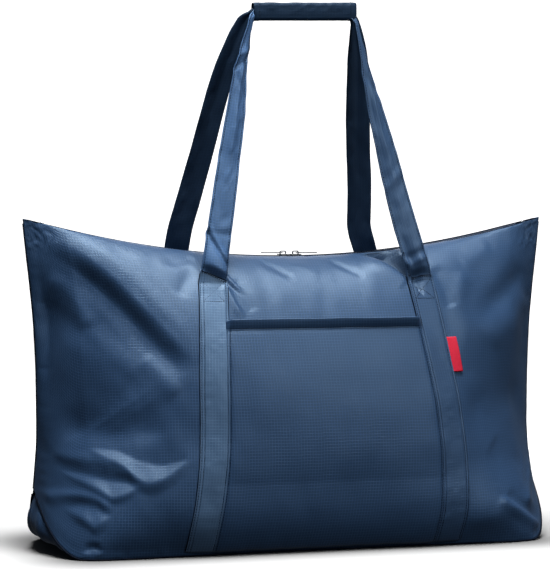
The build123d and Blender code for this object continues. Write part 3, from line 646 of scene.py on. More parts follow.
def cloth(name, colour, rough=0.42, spec=0.5, sheen=0.04, pitch=0.0035, line=0.12, grid=True,
          weave_pitch=0.0007, tint=(0.56, 0.78, 1.0), grid_bump=0.00018, contrast=0.62, mottled=0.10,
          noise_scale=40.0, left_painted_light=0.0):
    mat, bsdf, node, link, maths = tree(name)
    uv = node("UVMap", uv_map="cloth")
    obj = node("TexCoord")
    # threads of uneven weight, and slow unevenness in the dye
    fine = node("TexNoise", _2=900.0, _3=2.0)
    link(uv.outputs[0], fine.inputs[0])
    slow = node("TexNoise", _2=noise_scale, _3=4.0)
    link(obj.outputs["Object"], slow.inputs[0])
    slub = node("Mapping")
    slub.inputs["Scale"].default_value = (60.0, 1900.0, 1.0)
    link(uv.outputs[0], slub.inputs[0])
    slubs = node("TexNoise", _2=1.0, _3=1.0)
    link(slub.outputs[0], slubs.inputs[0])
    slub2 = node("Mapping")
    slub2.inputs["Scale"].default_value = (1900.0, 60.0, 1.0)
    link(uv.outputs[0], slub2.inputs[0])
    slubs2 = node("TexNoise", _2=1.0, _3=1.0)
    link(slub2.outputs[0], slubs2.inputs[0])
    plain = weave(node, link, maths, uv.outputs[0], weave_pitch)
    if grid:
        gx, gy = thread_grid(node, link, maths, uv.outputs[0], pitch, line)
        g = maths("MAXIMUM", gx, gy)
        both = maths("MULTIPLY", gx, gy)
    else:
        g, both = None, None
    shade = maths("MULTIPLY", maths("SUBTRACT", fine.outputs[0], 0.5), mottled)
    shade = maths("ADD", shade, maths("MULTIPLY", maths("SUBTRACT", slow.outputs[0], 0.5), mottled * 1.6))
    shade = maths("ADD", shade, maths("MULTIPLY", maths("SUBTRACT", slubs.outputs[0], 0.5), mottled * 1.5))
    shade = maths("ADD", shade, maths("MULTIPLY", maths("SUBTRACT", slubs2.outputs[0], 0.5), mottled * 1.5))
    shade = maths("ADD", shade, maths("MULTIPLY", maths("SUBTRACT", plain, 0.5), 0.14))
    if grid:
        shade = maths("ADD", shade, maths("MULTIPLY", g, contrast))
        shade = maths("ADD", shade, maths("MULTIPLY", both, contrast * 0.5))
        shade = maths("SUBTRACT", shade, contrast * 0.32)
    value = maths("ADD", shade, 1.0)
    if left_painted_light:
        # painted light: the left half of the strap is coloured a shade lighter, standing in for the light that falls on
        # that leg
        sx = node("SeparateXYZ")
        link(obj.outputs["Object"], sx.inputs[0])
        left_painted_light_mask = maths("MULTIPLY", maths("SUBTRACT", 0.02, sx.outputs[0]), 16.0, clamp=True)
        value = maths("MULTIPLY", value, maths("ADD", maths("MULTIPLY", left_painted_light_mask, left_painted_light), 1.0))
    mix = node("VectorMath", operation="SCALE")
    mix.inputs[0].default_value = colour
    link(value, mix.inputs["Scale"])
    link(mix.outputs[0], bsdf.inputs["Base Color"])
    r = maths("ADD", maths("MULTIPLY", maths("SUBTRACT", slow.outputs[0], 0.5), 0.16), rough)
    r = maths("ADD", r, maths("MULTIPLY", maths("SUBTRACT", fine.outputs[0], 0.5), 0.10))
    if grid:
        r = maths("SUBTRACT", r, maths("MULTIPLY", g, 0.05))
    link(r, bsdf.inputs["Roughness"])
    bsdf.inputs["Specular IOR Level"].default_value = spec
    bsdf.inputs["Specular Tint"].default_value = (*tint, 1)
    bsdf.inputs["Sheen Weight"].default_value = sheen
    bsdf.inputs["Sheen Roughness"].default_value = 0.45
    bsdf.inputs["Sheen Tint"].default_value = (0.55, 0.72, 1.0, 1)
    height = maths("MULTIPLY", plain, 0.00005)
    height = maths("ADD", height, maths("MULTIPLY", slubs.outputs[0], 0.00007))
    height = maths("ADD", height, maths("MULTIPLY", slubs2.outputs[0], 0.00007))
    if grid:
        height = maths("ADD", height, maths("MULTIPLY", g, grid_bump))
    bump = node("Bump")
    bump.inputs["Strength"].default_value = 0.55
    bump.inputs["Distance"].default_value = 1.0
    link(height, bump.inputs["Height"])
    link(bump.outputs[0], bsdf.inputs["Normal"])
    return mat


def ribbed(name, colour, pitch=0.0012, rough=0.6, spec=0.3, across=0, depth=0.00018, tint=(0.7, 0.85, 1.0)):
    """Woven tape: ribs across its length."""
    mat, bsdf, node, link, maths = tree(name)
    uv = node("UVMap", uv_map="cloth")
    sep = node("SeparateXYZ")
    link(uv.outputs[0], sep.inputs[0])
    k = 2 * math.pi / pitch
    rib = maths("SINE", maths("MULTIPLY", sep.outputs[across], k))
    fine = maths("SINE", maths("MULTIPLY", sep.outputs[1 - across], k * 1.7))
    noise = node("TexNoise", _2=700.0, _3=2.0)
    link(uv.outputs[0], noise.inputs[0])
    h = maths("ADD", maths("MULTIPLY", rib, 0.5), maths("MULTIPLY", fine, 0.25))
    value = maths("ADD", maths("MULTIPLY", h, 0.12), maths("ADD", maths("MULTIPLY", noise.outputs[0], 0.3), 0.85))
    mix = node("VectorMath", operation="SCALE")
    mix.inputs[0].default_value = colour
    link(value, mix.inputs["Scale"])
    link(mix.outputs[0], bsdf.inputs["Base Color"])
    bsdf.inputs["Roughness"].default_value = rough
    bsdf.inputs["Specular IOR Level"].default_value = spec
    bsdf.inputs["Specular Tint"].default_value = (*tint, 1)
    bump = node("Bump")
    bump.inputs["Strength"].default_value = 0.6
    bump.inputs["Distance"].default_value = 1.0
    link(maths("MULTIPLY", h, depth), bump.inputs["Height"])
    link(bump.outputs[0], bsdf.inputs["Normal"])
    return mat


def thread(name, colour, rough=0.55):
    mat, bsdf, node, link, maths = tree(name)
    obj = node("TexCoord")
    noise = node("TexNoise", _2=1400.0, _3=2.0)
    link(obj.outputs["Object"], noise.inputs[0])
    mix = node("VectorMath", operation="SCALE")
    mix.inputs[0].default_value = colour
    link(maths("ADD", noise.outputs[0], 0.5), mix.inputs["Scale"])
    link(mix.outputs[0], bsdf.inputs["Base Color"])
    bsdf.inputs["Roughness"].default_value = rough
    bsdf.inputs["Specular IOR Level"].default_value = 0.08
    bump = node("Bump")
    bump.inputs["Strength"].default_value = 0.5
    bump.inputs["Distance"].default_value = 0.0002
    link(noise.outputs[0], bump.inputs["Height"])
    link(bump.outputs[0], bsdf.inputs["Normal"])
    return mat


def metal(name):
    mat, bsdf, node, link, maths = tree(name)
    obj = node("TexCoord")
    noise = node("TexNoise", _2=260.0, _3=5.0)
    link(obj.outputs["Object"], noise.inputs[0])
    fine = node("TexNoise", _2=2200.0, _3=2.0)
    link(obj.outputs["Object"], fine.inputs[0])
    bsdf.inputs["Base Color"].default_value = (0.62, 0.63, 0.65, 1)
    bsdf.inputs["Metallic"].default_value = 1.0
    r = maths("ADD", maths("MULTIPLY", noise.outputs[0], 0.16), 0.12)
    link(maths("ADD", r, maths("MULTIPLY", fine.outputs[0], 0.06)), bsdf.inputs["Roughness"])
    bump = node("Bump")
    bump.inputs["Strength"].default_value = 0.15
    bump.inputs["Distance"].default_value = 0.0001
    link(fine.outputs[0], bump.inputs["Height"])
    link(bump.outputs[0], bsdf.inputs["Normal"])
    return mat


def moulded(name, colour, rough=0.4):
    mat, bsdf, node, link, maths = tree(name)
    obj = node("TexCoord")
    noise = node("TexNoise", _2=900.0, _3=3.0)
    link(obj.outputs["Object"], noise.inputs[0])
    mix = node("VectorMath", operation="SCALE")
    mix.inputs[0].default_value = colour
    link(maths("ADD", maths("MULTIPLY", noise.outputs[0], 0.5), 0.75), mix.inputs["Scale"])
    link(mix.outputs[0], bsdf.inputs["Base Color"])
    link(maths("ADD", maths("MULTIPLY", noise.outputs[0], 0.12), rough), bsdf.inputs["Roughness"])
    bump = node("Bump")
    bump.inputs["Strength"].default_value = 0.3
    bump.inputs["Distance"].default_value = 0.0002
    link(noise.outputs[0], bump.inputs["Height"])
    link(bump.outputs[0], bsdf.inputs["Normal"])
    return mat


NAVY = (0.018, 0.044, 0.100)
M_RIP = cloth("ripstop_navy", NAVY)
M_STRAP = cloth("ripstop_strap", (0.021, 0.047, 0.101), rough=0.40, contrast=0.36)
# painted light: the front handle is the strap navy with its left leg coloured lighter, standing in for the light that
# falls on it
M_HANDLE_PAINTED_LIGHT_LEFT = cloth("ripstop_strap_front", (0.024, 0.052, 0.110), rough=0.40, contrast=0.36, left_painted_light=0.9)
# painted light: the front-left webbing is the same navy ripstop coloured lighter and made glossier, standing in for the
# light that falls on it
M_STRAP_LEFT_PAINTED_LIGHT = cloth("ripstop_strap_left", (0.040, 0.080, 0.150), rough=0.44, spec=0.7, contrast=0.36)
# painted shade: the rear handle is the same navy ripstop coloured darker, standing in for the shade it hangs in
M_REAR_PAINTED_SHADE = cloth("ripstop_strap_rear", (0.010, 0.023, 0.050), rough=0.46, spec=0.35, contrast=0.36)
# painted shade: the grip sleeve is the same navy ripstop coloured much darker, standing in for the shade on its front
# face
M_WRAP_PAINTED_SHADE = cloth("ripstop_wrap", (0.003, 0.011, 0.028), rough=0.52, spec=0.18, sheen=0.0, contrast=0.16)
M_PIPE = ribbed("binding_navy", (0.010, 0.020, 0.042), rough=0.6)
M_TAPE = ribbed("zip_tape_navy", (0.014, 0.030, 0.064), pitch=0.0009, rough=0.75, spec=0.2)
M_THREAD = thread("thread_navy", (0.0022, 0.0045, 0.011), rough=0.85)
M_COIL = moulded("coil_navy", (0.016, 0.032, 0.066), rough=0.32)
M_METAL = metal("nickel")
M_RED = ribbed("tab_red", (0.46, 0.007, 0.030), pitch=0.0009, rough=0.62, spec=0.3, across=1, depth=0.00008,
               tint=(1.0, 0.8, 0.8))
M_WHITE = ribbed("tab_white", (0.72, 0.72, 0.72), pitch=0.0009, rough=0.7, spec=0.3, tint=(1, 1, 1))
M_HOOK = thread("hook_loop", (0.010, 0.020, 0.045), rough=0.9)


# ============================================================= camera, stage
def build_stage():
    cam_data = bpy.data.cameras.new("camera")
    cam = bpy.data.objects.new("camera", cam_data)
    scene.collection.objects.link(cam)
    cam.location = (-0.927, -2.853, 0.422)
    aim = Vector((-0.0162, 0.0053, 0.309)) - Vector(cam.location)
    cam.rotation_mode = "QUATERNION"
    cam.rotation_quaternion = aim.to_track_quat("-Z", "Y")
    cam_data.sensor_width = 36.0
    cam_data.lens = 2483.0 / 569.0 * 36.0
    cam_data.clip_start, cam_data.clip_end = 0.05, 50
    scene.camera = cam

    # seamless floor, flat and reaching far behind the bag
    prof = [(-6.0, 0.0), (2.2, 0.0), (3.5, 0.0), (5.0, 0.0)]
    ys = np.linspace(0, 1, 60)
    d = np.r_[0, np.cumsum(np.hypot(*np.diff(np.array(prof), axis=0).T))]
    py, pz = np.interp(ys * d[-1], d, [p[0] for p in prof]), np.interp(ys * d[-1], d, [p[1] for p in prof])
    xs = np.linspace(-5.5, 5.5, 24)
    verts = [(x, y, z - 0.0002) for y, z in zip(py, pz) for x in xs]
    faces = [[j * 24 + i, j * 24 + i + 1, (j + 1) * 24 + i + 1, (j + 1) * 24 + i]
             for j in range(59) for i in range(23)]
    mesh = bpy.data.meshes.new("floor")
    mesh.from_pydata(verts, [], faces)
    mesh.polygons.foreach_set("use_smooth", [True] * len(mesh.polygons))
    floor = bpy.data.objects.new("floor", mesh)
    scene.collection.objects.link(floor)
    mat, bsdf, node, link, maths = tree("studio_floor")
    obj = node("TexCoord")
    sep = node("SeparateXYZ")
    link(obj.outputs["Object"], sep.inputs[0])
    # painted contact shadow: the floor's colour darkens by up to 80 % towards a 0.524 by 0.160 m box round the bag's
    # footprint, fading out over about 66 mm
    ax = maths("MAXIMUM", maths("SUBTRACT", maths("ABSOLUTE", sep.outputs[0]), 0.262), 0.0)
    ay = maths("MAXIMUM", maths("SUBTRACT", maths("ABSOLUTE", sep.outputs[1]), 0.080), 0.0)
    far = maths("SQRT", maths("ADD", maths("MULTIPLY", ax, ax), maths("MULTIPLY", ay, ay)))
    near = maths("DIVIDE", maths("MAXIMUM", maths("SUBTRACT", far, 0.010), 0.0), 0.066)
    painted_contact_shadow = maths("EXPONENT", maths("MULTIPLY", maths("MULTIPLY", near, near), -1.0))
    value = maths("MULTIPLY", maths("SUBTRACT", 1.0, maths("MULTIPLY", painted_contact_shadow, 0.80)), 0.55)
    tone = node("CombineColor")
    for k in range(3):
        link(value, tone.inputs[k])
    link(tone.outputs[0], bsdf.inputs["Base Color"])
    bsdf.inputs["Roughness"].default_value = 0.75
    bsdf.inputs["Specular IOR Level"].default_value = 0.1
    bsdf.inputs["Emission Color"].default_value = (1, 1, 1, 1)
    glow = maths("MULTIPLY", maths("SUBTRACT", far, 0.30), 1.25, clamp=True)
    link(glow, bsdf.inputs["Emission Strength"])
    mesh.materials.append(mat)
    floor.visible_glossy = False
    floor.visible_diffuse = False

    # a lit wall far behind, seen by the camera alone
    mesh = bpy.data.meshes.new("backdrop")
    ring = [(math.cos(a) * 4.6, math.sin(a) * 4.6) for a in np.linspace(math.radians(-30), math.radians(210), 49)]
    verts = [(x, y, z) for z in (-0.4, 5.0) for x, y in ring]
    mesh.from_pydata(verts, [], [[i, i + 1, i + 50, i + 49] for i in range(48)])
    wall = bpy.data.objects.new("backdrop", mesh)
    scene.collection.objects.link(wall)
    mat, bsdf, node, link, maths = tree("studio_wall")
    bsdf.inputs["Base Color"].default_value = (0.9, 0.9, 0.9, 1)
    bsdf.inputs["Roughness"].default_value = 0.8
    bsdf.inputs["Emission Color"].default_value = (1, 1, 1, 1)
    bsdf.inputs["Emission Strength"].default_value = 1.05
    mesh.materials.append(mat)
    wall.visible_glossy = wall.visible_diffuse = wall.visible_shadow = False

    world = bpy.data.worlds.new("studio")
    world.use_nodes = True
    world.node_tree.nodes["Background"].inputs[0].default_value = (0.86, 0.92, 1.0, 1)
    world.node_tree.nodes["Background"].inputs[1].default_value = WORLD
    scene.world = world

    def area(name, loc, aim, size, power, colour=(1, 1, 1)):
        data = bpy.data.lights.new(name, "AREA")
        data.shape = "RECTANGLE"
        data.size, data.size_y = size
        data.energy = power
        data.color = colour
        o = bpy.data.objects.new(name, data)
        scene.collection.objects.link(o)
        o.location = loc
        o.rotation_mode = "QUATERNION"
        o.rotation_quaternion = (Vector(aim) - Vector(loc)).to_track_quat("-Z", "Y")
        return o

    area("key_overhead", (-0.12, -0.52, 2.45), (0.0, -0.02, 0.25), (1.35, 1.35), KEY)
    area("front_high", (1.0, -1.95, 1.2), (0.05, 0, 0.15), (0.9, 0.6), FRONT)
    area("back_rim", (0.5, 1.9, 1.5), (0, 0, 0.3), (1.4, 0.7), RIM)


WORLD = 0.06
KEY, FRONT, RIM = 142.0, 17.0, 8.0
scene.view_settings.view_transform = "Standard"
scene.view_settings.look = "None"
scene.view_settings.exposure = 0.0
scene.view_settings.gamma = 1.0
build_stage()

# ============================================================ the main panels
COLS, ROWS = (266, 178)


def spread(lo, hi, n, *bumps):
    """n values from lo to hi, closer together at each (middle, width, gain)."""
    t = np.linspace(lo, hi, 4001)
    d = np.ones_like(t)
    for m, w, g in bumps:
        d = d + g * np.exp(-(((t - m) / w) ** 2))
    c = np.r_[0, np.cumsum((d[1:] + d[:-1]) / 2)]
    return np.interp(np.linspace(0, c[-1], n), c, t)


us = spread(-1, 1, COLS, (-1, 0.05, 2.5), (1, 0.05, 2.5), (-0.28, 0.06, 1.6), (-0.72, 0.16, 0.7), (0.35, 0.06, 0.5))
ws = spread(0, 1, ROWS, (0, 0.06, 1.0), (1, 0.05, 1.2), (0.74, 0.06, 1.0), (0.28, 0.1, 0.4))
front_P, front_N = cloth_grid(us, ws, -1)
front_cloth = shell("front_cloth", front_P, 0.75, M_RIP, (0, -1, 0.2), replaces=["front_panel"])
back_P, _ = cloth_grid(us, ws, 1)
back_cloth = shell("back_cloth", back_P, 0.75, M_RIP, (0, 1, 0.2), replaces=["back_panel"])


# =================================================================== the base
def floor_grid():
    i = np.linspace(-1, 1, 121)
    x, y, _ = body_point(U_FLAT * i, np.zeros_like(i))
    y = y - 1.2
    t = np.linspace(-1, 1, 49)
    X = np.repeat(x[None], 49, 0)
    Y = t[:, None] * y[None]
    edge = (1 - np.abs(t))[:, None] * y[None]
    lift = 0.35 * (1 + value_noise(X / 60, Y / 55, 91)) * step(edge / 30)
    Z = 0.02 + lift
    return np.stack([X, Y, Z], -1)


base_P = floor_grid()
base_cloth = shell("base_cloth", base_P, 0.8, M_RIP, (0, 0, -1), replaces=["base_panel"])


def end_grid(sign):
    s = np.linspace(0, 1, 44)
    t = np.linspace(-1, 1, 61)
    u = U_FLAT + 0.0045 + (0.9955 - U_FLAT - 0.006) * s
    x, y, z = body_point(np.minimum(u, 1.0), np.zeros_like(u))
    S, Tt = np.meshgrid(s, t)
    swell = 7.3 * S**2.2 * (1 - S) * (1 - Tt**2)
    rise = 3.97 * S**0.7 * (1 - S) ** 1.5 * (1 - Tt**2)
    low = z[None] - 1.6 - 1.5 * swell + 9.0 * rise
    X = x[None] - 1.0 + 15 * swell
    Y = np.maximum(y - 1.4, 1.2)[None] * Tt
    Z = 0.6 + 0.5 * (low + np.sqrt(low * low + 0.8))
    P = np.stack([sign * X, Y, Z], -1)
    n = normals_of(P)
    n = n * (1 if (n[..., 2] < 0).mean() > 0.5 else -1)
    hold = step(S / 0.12) * step((1 - S) / 0.12) * step((1 - np.abs(Tt)) / 0.18)
    h = (1.3 * value_noise(X / 26, Y / 34, 31 + int(sign)) + 1.1 * value_noise(Y / 15 + X / 40, X / 60, 35)) * hold
    h = h - 2.2 * np.exp(-((Tt * 60 + 10 - S * 16) / 9) ** 2) * hold + 1.6 * np.exp(-((Tt * 60 - 24 + S * 12) / 8) ** 2) * hold
    P = P + n * h[..., None]
    P[..., 2] = np.maximum(P[..., 2], 0.55)
    return P


for sign, name in ((-1, "left"), (1, "right")):
    P = end_grid(sign)
    shell(f"base_end_cloth_{name}", P, 0.8, M_RIP, (sign, 0, -1.0), replaces=[f"base_end_{name}"])


# piped seam round the base, seams up both sides
def seam_path(side, n=420):
    u = np.linspace(-0.995, 0.995, n)
    x, y, z = body_point(u, np.zeros_like(u))
    zz = np.maximum(z - 0.7, 1.15)
    out = 0.5
    return np.stack([x * (1 + 0.0016), side * (y + out), zz], -1)


v, f = join([tube(seam_path(-1), 0.95, 8), tube(seam_path(1), 0.95, 8)])
piping = make("base_piping", v, f, M_THREAD)
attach(piping, "bag")

side_parts = []
for sign in (-1, 1):
    z = np.linspace(END_RISE + 1, 384, 150)
    x = sign * (half_width(z) + 0.35)
    wob = 0.25 * value_noise(z / 9, z * 0, 5)
    side_parts.append(tube(np.stack([x, wob, z], -1), 0.9, 8))
v, f = join(side_parts)
side_seams = make("side_seams", v, f, M_THREAD)
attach(side_seams, "bag")


# ============================================================ sewn webbing
def strap_profile(s, twin_left, twin_right):
    """Height of a strap across its width, s in mm from its middle: dips
    along its rows of stitches."""
    h = 1.0 - 0.18 * (np.abs(s) / HALF) ** 6
    for c in twin_left + twin_right:
        h = h - 0.70 * np.exp(-(((s - c) / 0.75) ** 2))
    return h


def seam_z(line, s):
    """Where the sewn run ends, s in mm across the strap."""
    if line is FRONT_LEFT:
        return 322.0 - 0.42 * s
    if line is FRONT_RIGHT:
        return 319.5 + 0.02 * s
    return 319.0 + 0.0 * s


def strap_rows(line):
    if line is FRONT_LEFT:
        return [-15.4, -12.2], [14.8]
    if line is FRONT_RIGHT:
        return [-15.2, -12.2], [14.8]
    return [-15.0, -12.4], [15.0]


def strap_point(x, z, side, lift):
    """On the cloth up to z = 313; above it the strap goes straight up,
    free of the cloth that falls back to the rim."""
    x, z = np.broadcast_arrays(np.asarray(x, float), np.asarray(z, float))
    free = np.maximum(z - 313.0, 0)
    p, n = on_cloth(x, np.minimum(z, 313.0), side, lift)
    p = p + np.stack([0 * free, -side * 1.2 * (1 - np.exp(-free / 6.0)), free], -1)
    k = step(free / 6.0)[..., None]
    n = n * (1 - k) + np.array([0.0, side, 0.0]) * k
    return p, n / np.linalg.norm(n, axis=-1, keepdims=True)


CROSS = np.unique(np.r_[np.linspace(-HALF, HALF, 35), [-16.6, -15.8, -15.0, -13.0, -11.8, 14.2, 15.4, 16.6]])


def sewn_strap(name, line, side, node):
    rows = 170
    f = np.linspace(0, 1, rows)
    s = CROSS
    S, F = np.meshgrid(s, f)
    top = seam_z(line, S)
    Z = 6.5 + (top - 6.5) * F
    X = strap_centre(line, Z) + S
    a, b = strap_rows(line)
    over = 1.0 * step((Z - 300) / 12)  # rides up over the end of the handle
    wavy = 0.30 * value_noise(Z / 22, S / 40 + 3, 17 + len(name))
    wavy = wavy + 0.16 * value_noise(Z / 7, S / 9, 19 + len(name))
    lift = 0.75 + strap_profile(S, a, b) * 0.9 + over + wavy * step((HALF - np.abs(S)) / 4)
    low, _ = strap_point(X, Z, side, lift)
    obj = shell(name, low, 0.9, M_STRAP_LEFT_PAINTED_LIGHT if line is FRONT_LEFT else M_STRAP, (0, side, 0), replaces=[node])
    return obj


straps = {}
for name, line, side, node in (
    ("webbing_front_left", FRONT_LEFT, -1, "strap_front_left"),
    ("webbing_front_right", FRONT_RIGHT, -1, "strap_front_right"),
    ("webbing_rear_left", REAR_LEFT, 1, "strap_rear_left"),
    ("webbing_rear_right", REAR_RIGHT, 1, "strap_rear_right"),
):
    straps[name] = sewn_strap(name, line, side, node)


def strap_lift(line, s, z):
    a, b = strap_rows(line)
    return 0.75 + strap_profile(s, a, b) * 0.9 + 1.0 * step((z - 300) / 12)


def strap_stitches(line, side):
    parts = []
    a, b = strap_rows(line)
    z = np.linspace(9, 315, 240)
    for c in a + b:
        p, n = strap_point(strap_centre(line, z) + c, z, side, strap_lift(line, np.full_like(z, c), z))
        parts.append(stitches(p, n))
    # near-black thread cords along both edges: painted shade standing in for the shadow line where each strap's folded
    # edge meets the cloth
    for c in (-17.4, 17.4):
        zz = np.linspace(8, 318 if line is not FRONT_LEFT else (326 if c < 0 else 314), 150)
        p, n = strap_point(strap_centre(line, zz) + c, zz, side, 0.55)
        parts.append(tube(p, 0.62, 6))
    # the seam across its end, and another just below
    s_ = np.linspace(-15.6, 15.6, 60)
    for down in (1.6,):
        zz = seam_z(line, s_) - down
        p, n = strap_point(strap_centre(line, zz) + s_, zz, side, strap_lift(line, s_, zz))
        parts.append(stitches(p, n, 2.6, 2.2, 0.42))
    # the cord of thread that locks that end
    zz = seam_z(line, s_) - 0.15
    p, n = strap_point(strap_centre(line, zz) + s_ * 1.06, zz, side, strap_lift(line, s_, zz) - 0.15)
    parts.append(tube(p, 0.62, 6))
    # box and cross under the handle's end
    z1, z0 = 314.5, 293.0
    corners = [(-13.0, z0), (13.0, z0), (13.0, z1), (-13.0, z1)]
    segs = [(corners[0], corners[2]), (corners[1], corners[3]), (corners[0], corners[1]), (corners[3], corners[2])]
    for (s0, za), (s1, zb) in segs:
        t = np.linspace(0, 1, 40)
        s, zz = s0 + (s1 - s0) * t, za + (zb - za) * t
        p, n = strap_point(strap_centre(line, zz) + s, zz, side, strap_lift(line, s, zz))
        parts.append(stitches(p, n, 2.6, 2.0, 0.33))
    return parts


thread_parts = []
for line, side in ((FRONT_LEFT, -1), (FRONT_RIGHT, -1), (REAR_LEFT, 1), (REAR_RIGHT, 1)):
    thread_parts += strap_stitches(line, side)
v, f = join(thread_parts)
obj = make("strap_stitching", v, f, M_THREAD)
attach(obj, "bag")


# ================================================================= the pocket
POCKET_TOP, POCKET_BOTTOM = 269.5, 7.0


def pocket_edges(z):
    return strap_centre(FRONT_LEFT, z) + HALF - 3.5, strap_centre(FRONT_RIGHT, z) - HALF + 3.5


def pocket_lift(s, z):
    """s is the share across, 0 to 1."""
    edge = np.minimum(s, 1 - s) * 260
    body = 0.25 + 1.5 * step(edge / 9)
    # the mouth stands out a little, its hem pulled in along the stitches
    mouth = smooth([(200, 0), (240, 0.4), (255, 0.5), (259.6, 0.15), (261.5, 1.2), (266, 4.0), (269.5, 5.6)], z) \
        * step(edge / 7)
    slack = (0.5 * value_noise(s * 5.2, z / 60, 61) + 0.25 * value_noise(s * 12, z / 33, 62)) * step(edge / 25)
    return body + mouth + slack


def pocket_grid(z0, z1, rows, cols, extra=0.0):
    z = np.linspace(z0, z1, rows)
    s = np.linspace(0, 1, cols)
    s = s + 0.0 * s
    Sg, Z = np.meshgrid(s, z)
    a, b = pocket_edges(Z)
    X = a + (b - a) * Sg
    P, n = on_cloth(X, Z, -1, pocket_lift(Sg, Z) + 0.7 + extra)
    return P, n


pocket_P, _ = pocket_grid(POCKET_BOTTOM, 265.0, 130, 131)
pocket_cloth = shell("pocket_cloth", pocket_P, 0.6, M_RIP, (0, -1, 0), replaces=["pocket_panel"])


def hem_grid():
    """Outside of the folded hem, over its rounded top and down behind."""
    z = np.r_[np.linspace(259.0, 268.4, 12)]
    cols = 131
    s = np.linspace(0, 1, cols)
    Sg, Z = np.meshgrid(s, z)
    a, b = pocket_edges(Z)
    front, n = on_cloth(a + (b - a) * Sg, Z, -1, pocket_lift(Sg, Z) + 1.1 + 0.13 * (Z - 259) - 0.5 * np.exp(-(((Z - 260.6) / 0.8) ** 2)))
    # half round top, then the back face
    top_front = front[-1]
    rounds = []
    up = front[-1] - front[-2]
    up /= np.linalg.norm(up, axis=-1, keepdims=True)
    nn = n[-1]
    r = 1.7
    centre = top_front - nn * r
    for ang in np.linspace(14, 180, 12):
        q = math.radians(ang)
        rounds.append(centre + nn * (r * math.cos(q)) + up * (r * math.sin(q)))
    back = []
    for k in range(1, 6):
        back.append(rounds[-1] - up * (k * 1.6))
    return np.concatenate([front, np.array(rounds), np.array(back)])


hem_P = hem_grid()
pocket_hem = shell("pocket_hem_fold", hem_P, 0.45, M_RIP, (0, -1, 0.3), replaces=["pocket_hem"])

parts = []
for k in (0, 1):
    z = np.linspace(9, 268, 150)
    e = pocket_edges(z)[k] + (4.6 if k == 0 else -4.6)
    p, n = on_cloth(e, z, -1, 2.6)
    parts.append(stitches(p, n, 3.0, 2.3, 0.36))
for zline in (260.7,):
    s = np.linspace(0.02, 0.98, 220)
    z = np.full_like(s, zline)
    a, b = pocket_edges(z)
    p, n = on_cloth(a + (b - a) * s, z, -1, pocket_lift(s, z) + 0.7 + 0.75 - 0.45)
    parts.append(stitches(p, n, 3.0, 2.2, 0.27))
v, f = join(parts)
obj = make("pocket_stitching", v, f, M_THREAD)
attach(obj, "bag")

# ================================================================ side label
z = np.linspace(206, 247, 40)
s = np.linspace(0, 1, 15)
Sg, Z = np.meshgrid(s, z)
X = strap_centre(FRONT_RIGHT, Z) + HALF - 1.2 + 13.4 * Sg
curl = 0.5 + 1.5 * Sg**1.5 + 0.5 * Sg * np.sin((Z - 206) / 41 * math.pi)
P, _ = on_cloth(X, Z, -1, curl + 0.75)
label = shell("side_tab", P, 0.7, M_RED, (0, -1, 0), replaces=["side_label"])


# ================================================================= the handles
STRAP_W = 34.0
HANDLE_Y, GRIP_Z, BAR_H = 64.0, 635.0, 16.5
BAR_Y = {-1: -29.9, 1: -24.5}
LEGS = {
    ("front", "left"): dict(x=[(318, -113.5), (350, -109), (430, -95.8), (510, -80.8), (578, -69), (620, -57.7), (624, -57)],
                            yaw=[(0, 0), (0.3, 3), (0.6, 9), (0.75, 20), (0.85, 36), (0.93, 50), (1, 62)],
                            wide=[(0, 33), (0.08, 31.5), (0.35, 29), (0.6, 25.5), (0.8, 21), (1, 17)], line=FRONT_LEFT),
    ("front", "right"): dict(x=[(318, 144), (350, 135.5), (427, 117.5), (512, 97), (570, 85.5), (600, 80), (624, 74.5)],
                             yaw=[(0, 0), (0.3, -2), (0.6, -10), (0.8, -40), (0.92, -52), (1, -66)],
                             wide=[(0, 33), (0.08, 31), (0.35, 28), (0.6, 23.5), (0.8, 19), (0.92, 16), (1, 11)], line=FRONT_RIGHT),
    ("rear", "left"): dict(x=[(318, -131), (350, -127.5), (455, -106.3), (560, -84), (598, -71.5), (624, -62.5)],
                           yaw=[(0, 0), (0.5, -3), (1, -6)],
                           wide=[(0, 33), (0.1, 31), (0.5, 28), (0.8, 26), (0.93, 23.5), (1, 18)], line=REAR_LEFT),
    ("rear", "right"): dict(x=[(318, 116), (340, 109.5), (430, 101), (504, 92.5), (567, 86), (595, 82.5), (624, 77.5)],
                            yaw=[(0, 0), (0.5, 3), (1, 16)],
                            wide=[(0, 33), (0.1, 31), (0.6, 30), (0.85, 25), (0.94, 18), (1, 11)], line=REAR_RIGHT),
}


FEET = 14


def leg(which, side, hand):
    """Stations up one leg, from its seam to the grip."""
    d = LEGS[(which, hand)]
    f = np.linspace(0, 1, 122)
    z0 = 326.0
    z = z0 + (624.0 - z0) * f
    x = smooth(d["x"], z)
    y = side * HANDLE_Y + (BAR_Y[side] - side * HANDLE_Y) * (z - 318.8) / (643.25 - 318.8)
    x = x + 0.8 * value_noise(z / 70, z * 0 + side * 2, 81 + len(hand)) * step(f / 0.1) * step((1 - f) / 0.1)
    return x, y, z, smooth(d["yaw"], f), smooth(d["wide"], f), f


